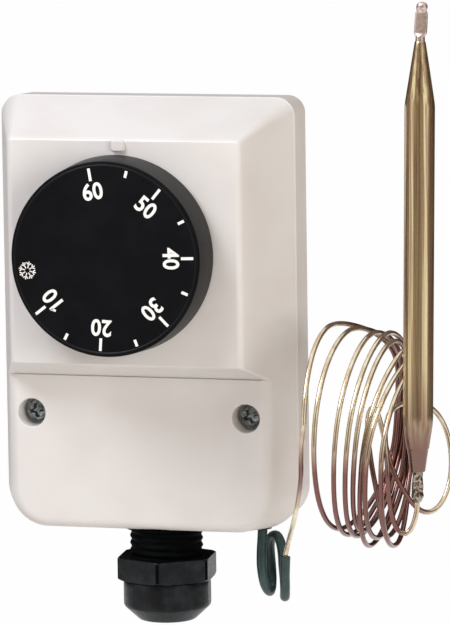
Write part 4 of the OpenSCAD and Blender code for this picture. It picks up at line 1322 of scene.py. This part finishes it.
@dataclass
class CableGland:
    """The gland below the housing: a threaded neck, a hexagon and a domed nut."""

    axis_x: float = 3.0
    depth: float = 11.0
    thread_radius: float = 7.6
    pitch: float = 1.5
    neck_top: float = -38.0
    hex_top: float = -50.8
    hex_height: float = 4.8
    flats: float = 19.0
    turn: float = 36.0
    nut_radius: float = 9.1
    nut_height: float = 8.6
    bore: float = 5.0
    seal_radius: float = 6.0
    collar: Point = (8.46, -44.55, -44.95)

    def place(self) -> Matrix:
        """Places a piece drawn along Z on the gland's axis."""
        return Matrix.Translation((self.axis_x, -self.depth, 0))

    def flat_reach(self, half: float, corner: float, angle: float) -> float:
        """Gives the distance from the axis to a hexagon with rounded corners.

        Args:
            half: Half the size across the flats.
            corner: Radius at which the corners are cut.
            angle: Direction from the axis, in radians.

        Returns:
            The distance, in millimetres.
        """
        local = (angle - math.radians(self.turn) + math.pi / 6) % (math.pi / 3) - math.pi / 6
        return min(half / math.cos(local + math.pi / 6 if local < 0 else local - math.pi / 6), corner)

    def build(self) -> None:
        """Makes the body with its thread, and the nut."""
        hex_end = self.hex_top - self.hex_height
        corner = self.flats / 2 / math.cos(math.pi / 6) - 0.19

        def body_reach(angle: float, height: float) -> float:
            """Limits the neck to its collar and thread, and the hexagon to its flats."""
            if self.collar[1] > height > self.collar[2]:
                return self.collar[0]
            if height > self.hex_top - 0.01:
                wave = (height / self.pitch + angle / math.tau) % 1.0
                return self.thread_radius - 0.75 * abs(wave - 0.5)
            slope = 0.55
            upper, lower = self.hex_top - height, height - hex_end
            cone = min(corner - 0.35 + upper / slope, corner - 0.75 + lower / slope, corner)
            return min(self.flat_reach(self.flats / 2, corner, angle), cone)

        heights = [self.neck_top - i * 0.1 for i in range(int((self.neck_top - self.hex_top) / 0.1) + 1)]
        profile: Profile = [(self.bore, self.neck_top), *((20.0, h) for h in heights[1:]),
                            (20.0, self.hex_top)]
        profile += [(20.0, self.hex_top - 0.02 - i * self.hex_height / 40) for i in range(40)]
        profile += [(20.0, hex_end), (self.seal_radius + 1, hex_end), (self.seal_radius + 1, hex_end - 5.9),
                    (self.seal_radius, hex_end - 5.9), (self.seal_radius, hex_end - 0.8), (self.bore, hex_end - 0.8)]
        profile.append(profile[0])
        body = turned("gland_threaded_body", profile, self.place(), 288, body_reach)
        dress(body, GLAND_NYLON, "housing", ("gland_body",))
        # Painted shade: the thread, the hexagon's top face and its cut corners take the darker, duller polyamide.
        body.data.materials.append(SHADED_ROUGH_NYLON.material())
        for polygon in body.data.polygons:
            spot = polygon.center / MM
            cut = math.hypot(spot.x - self.axis_x, spot.y + self.depth) > corner - 0.03
            if spot.z > self.hex_top - 0.015 or (cut and abs(polygon.normal.z) < 0.1):
                polygon.material_index = 1
        self.nut(hex_end - 0.1)

    def nut(self, top: float) -> None:
        """Makes the domed nut with its six shallow flats.

        Args:
            top: Height of its upper face.
        """
        end = top - self.nut_height
        outer = rounded([
            (self.seal_radius + 1.15, top, 0), (self.nut_radius - 0.1, top, 0.3), (self.nut_radius, top - 1.0, 0.2),
            (self.nut_radius, end + 3.1, 0.4), (5.8, end + 0.05, 0.3), (4.0, end, 0.1),
            (4.0, end + 2.0, 0), (self.seal_radius + 1.15, end + 2.6, 0), (self.seal_radius + 1.15, top, 0)], 7)
        dense: Profile = []
        for (r0, h0), (r1, h1) in zip(outer, outer[1:]):
            parts = max(1, int(abs(h1 - h0) / 0.5))
            dense += [(r0 + (r1 - r0) * k / parts, h0 + (h1 - h0) * k / parts) for k in range(parts)]
        dense.append(outer[-1])

        def reach(angle: float, height: float) -> float:
            """Cuts the six shallow flats into the round wall."""
            return self.flat_reach(self.nut_radius - 0.14, self.nut_radius, angle)

        nut = turned("gland_dome_nut", dense, self.place(), 240, reach)
        dress(nut, GLAND_NYLON, "housing", ("gland_nut",))


@dataclass
class Mechanism:
    """The pieces inside the housing, each in the finish of its own metal or plastic."""

    finishes: dict[str, tuple[Finish, Slot]] = field(default_factory=lambda: {
        "spindle": (ROLLED_STEEL, Slot.STEEL), "retaining_ring": (ROLLED_STEEL, Slot.STEEL),
        "bridge": (ROLLED_STEEL, Slot.STEEL), "spindle_bush": (TURNED_BRASS, Slot.BRASS),
        "bridge_screws": (ROLLED_STEEL, Slot.STEEL), "setting_nut": (TURNED_BRASS, Slot.BRASS),
        "diaphragm": (ROLLED_STEEL, Slot.STEEL), "transfer_pin": (STEATITE, Slot.CERAMIC),
        "switch_block": (PHENOLIC, Slot.PHENOLIC), "switch_lid": (PHENOLIC, Slot.PHENOLIC),
        "snap_blade": (TURNED_BRASS, Slot.BRASS), "moving_contact": (SILVER, Slot.SILVER),
        "front_contact": (SILVER, Slot.SILVER), "rear_contact": (SILVER, Slot.SILVER),
        "terminal_common": (TURNED_BRASS, Slot.BRASS), "terminal_break": (TURNED_BRASS, Slot.BRASS),
        "terminal_make": (TURNED_BRASS, Slot.BRASS), "terminal_screws": (ROLLED_STEEL, Slot.STEEL),
        "earth_plate": (TURNED_BRASS, Slot.BRASS), "earth_screw": (ZINC_STEEL, Slot.ZINC),
        "gland_seal": (RUBBER, Slot.RUBBER), "sleeve_bush": (RUBBER, Slot.RUBBER),
        "inner_capillary": (CAPILLARY_COPPER, Slot.COPPER)})

    def build(self, nodes: dict[str, bpy.types.Object]) -> None:
        """Dresses every inner solid.

        Args:
            nodes: The solids, by name.
        """
        for name, (finish, slot) in self.finishes.items():
            dress(nodes[name], finish)
            soften(nodes[name], 0.0)


def main() -> None:
    """Builds the scene in order."""
    logging.basicConfig(level=logging.INFO, format="%(message)s")
    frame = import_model()
    PhotoCamera().build()
    SensingBulb().build()
    Capillary().build()
    Studio().build()
    Housing().build(frame["nodes"])
    CoverScrews().build()
    Dial().build()
    CableGland().build()
    Mechanism().build(frame["nodes"])
    bpy.context.view_layer.update()


if __name__ == "__main__":
    main()
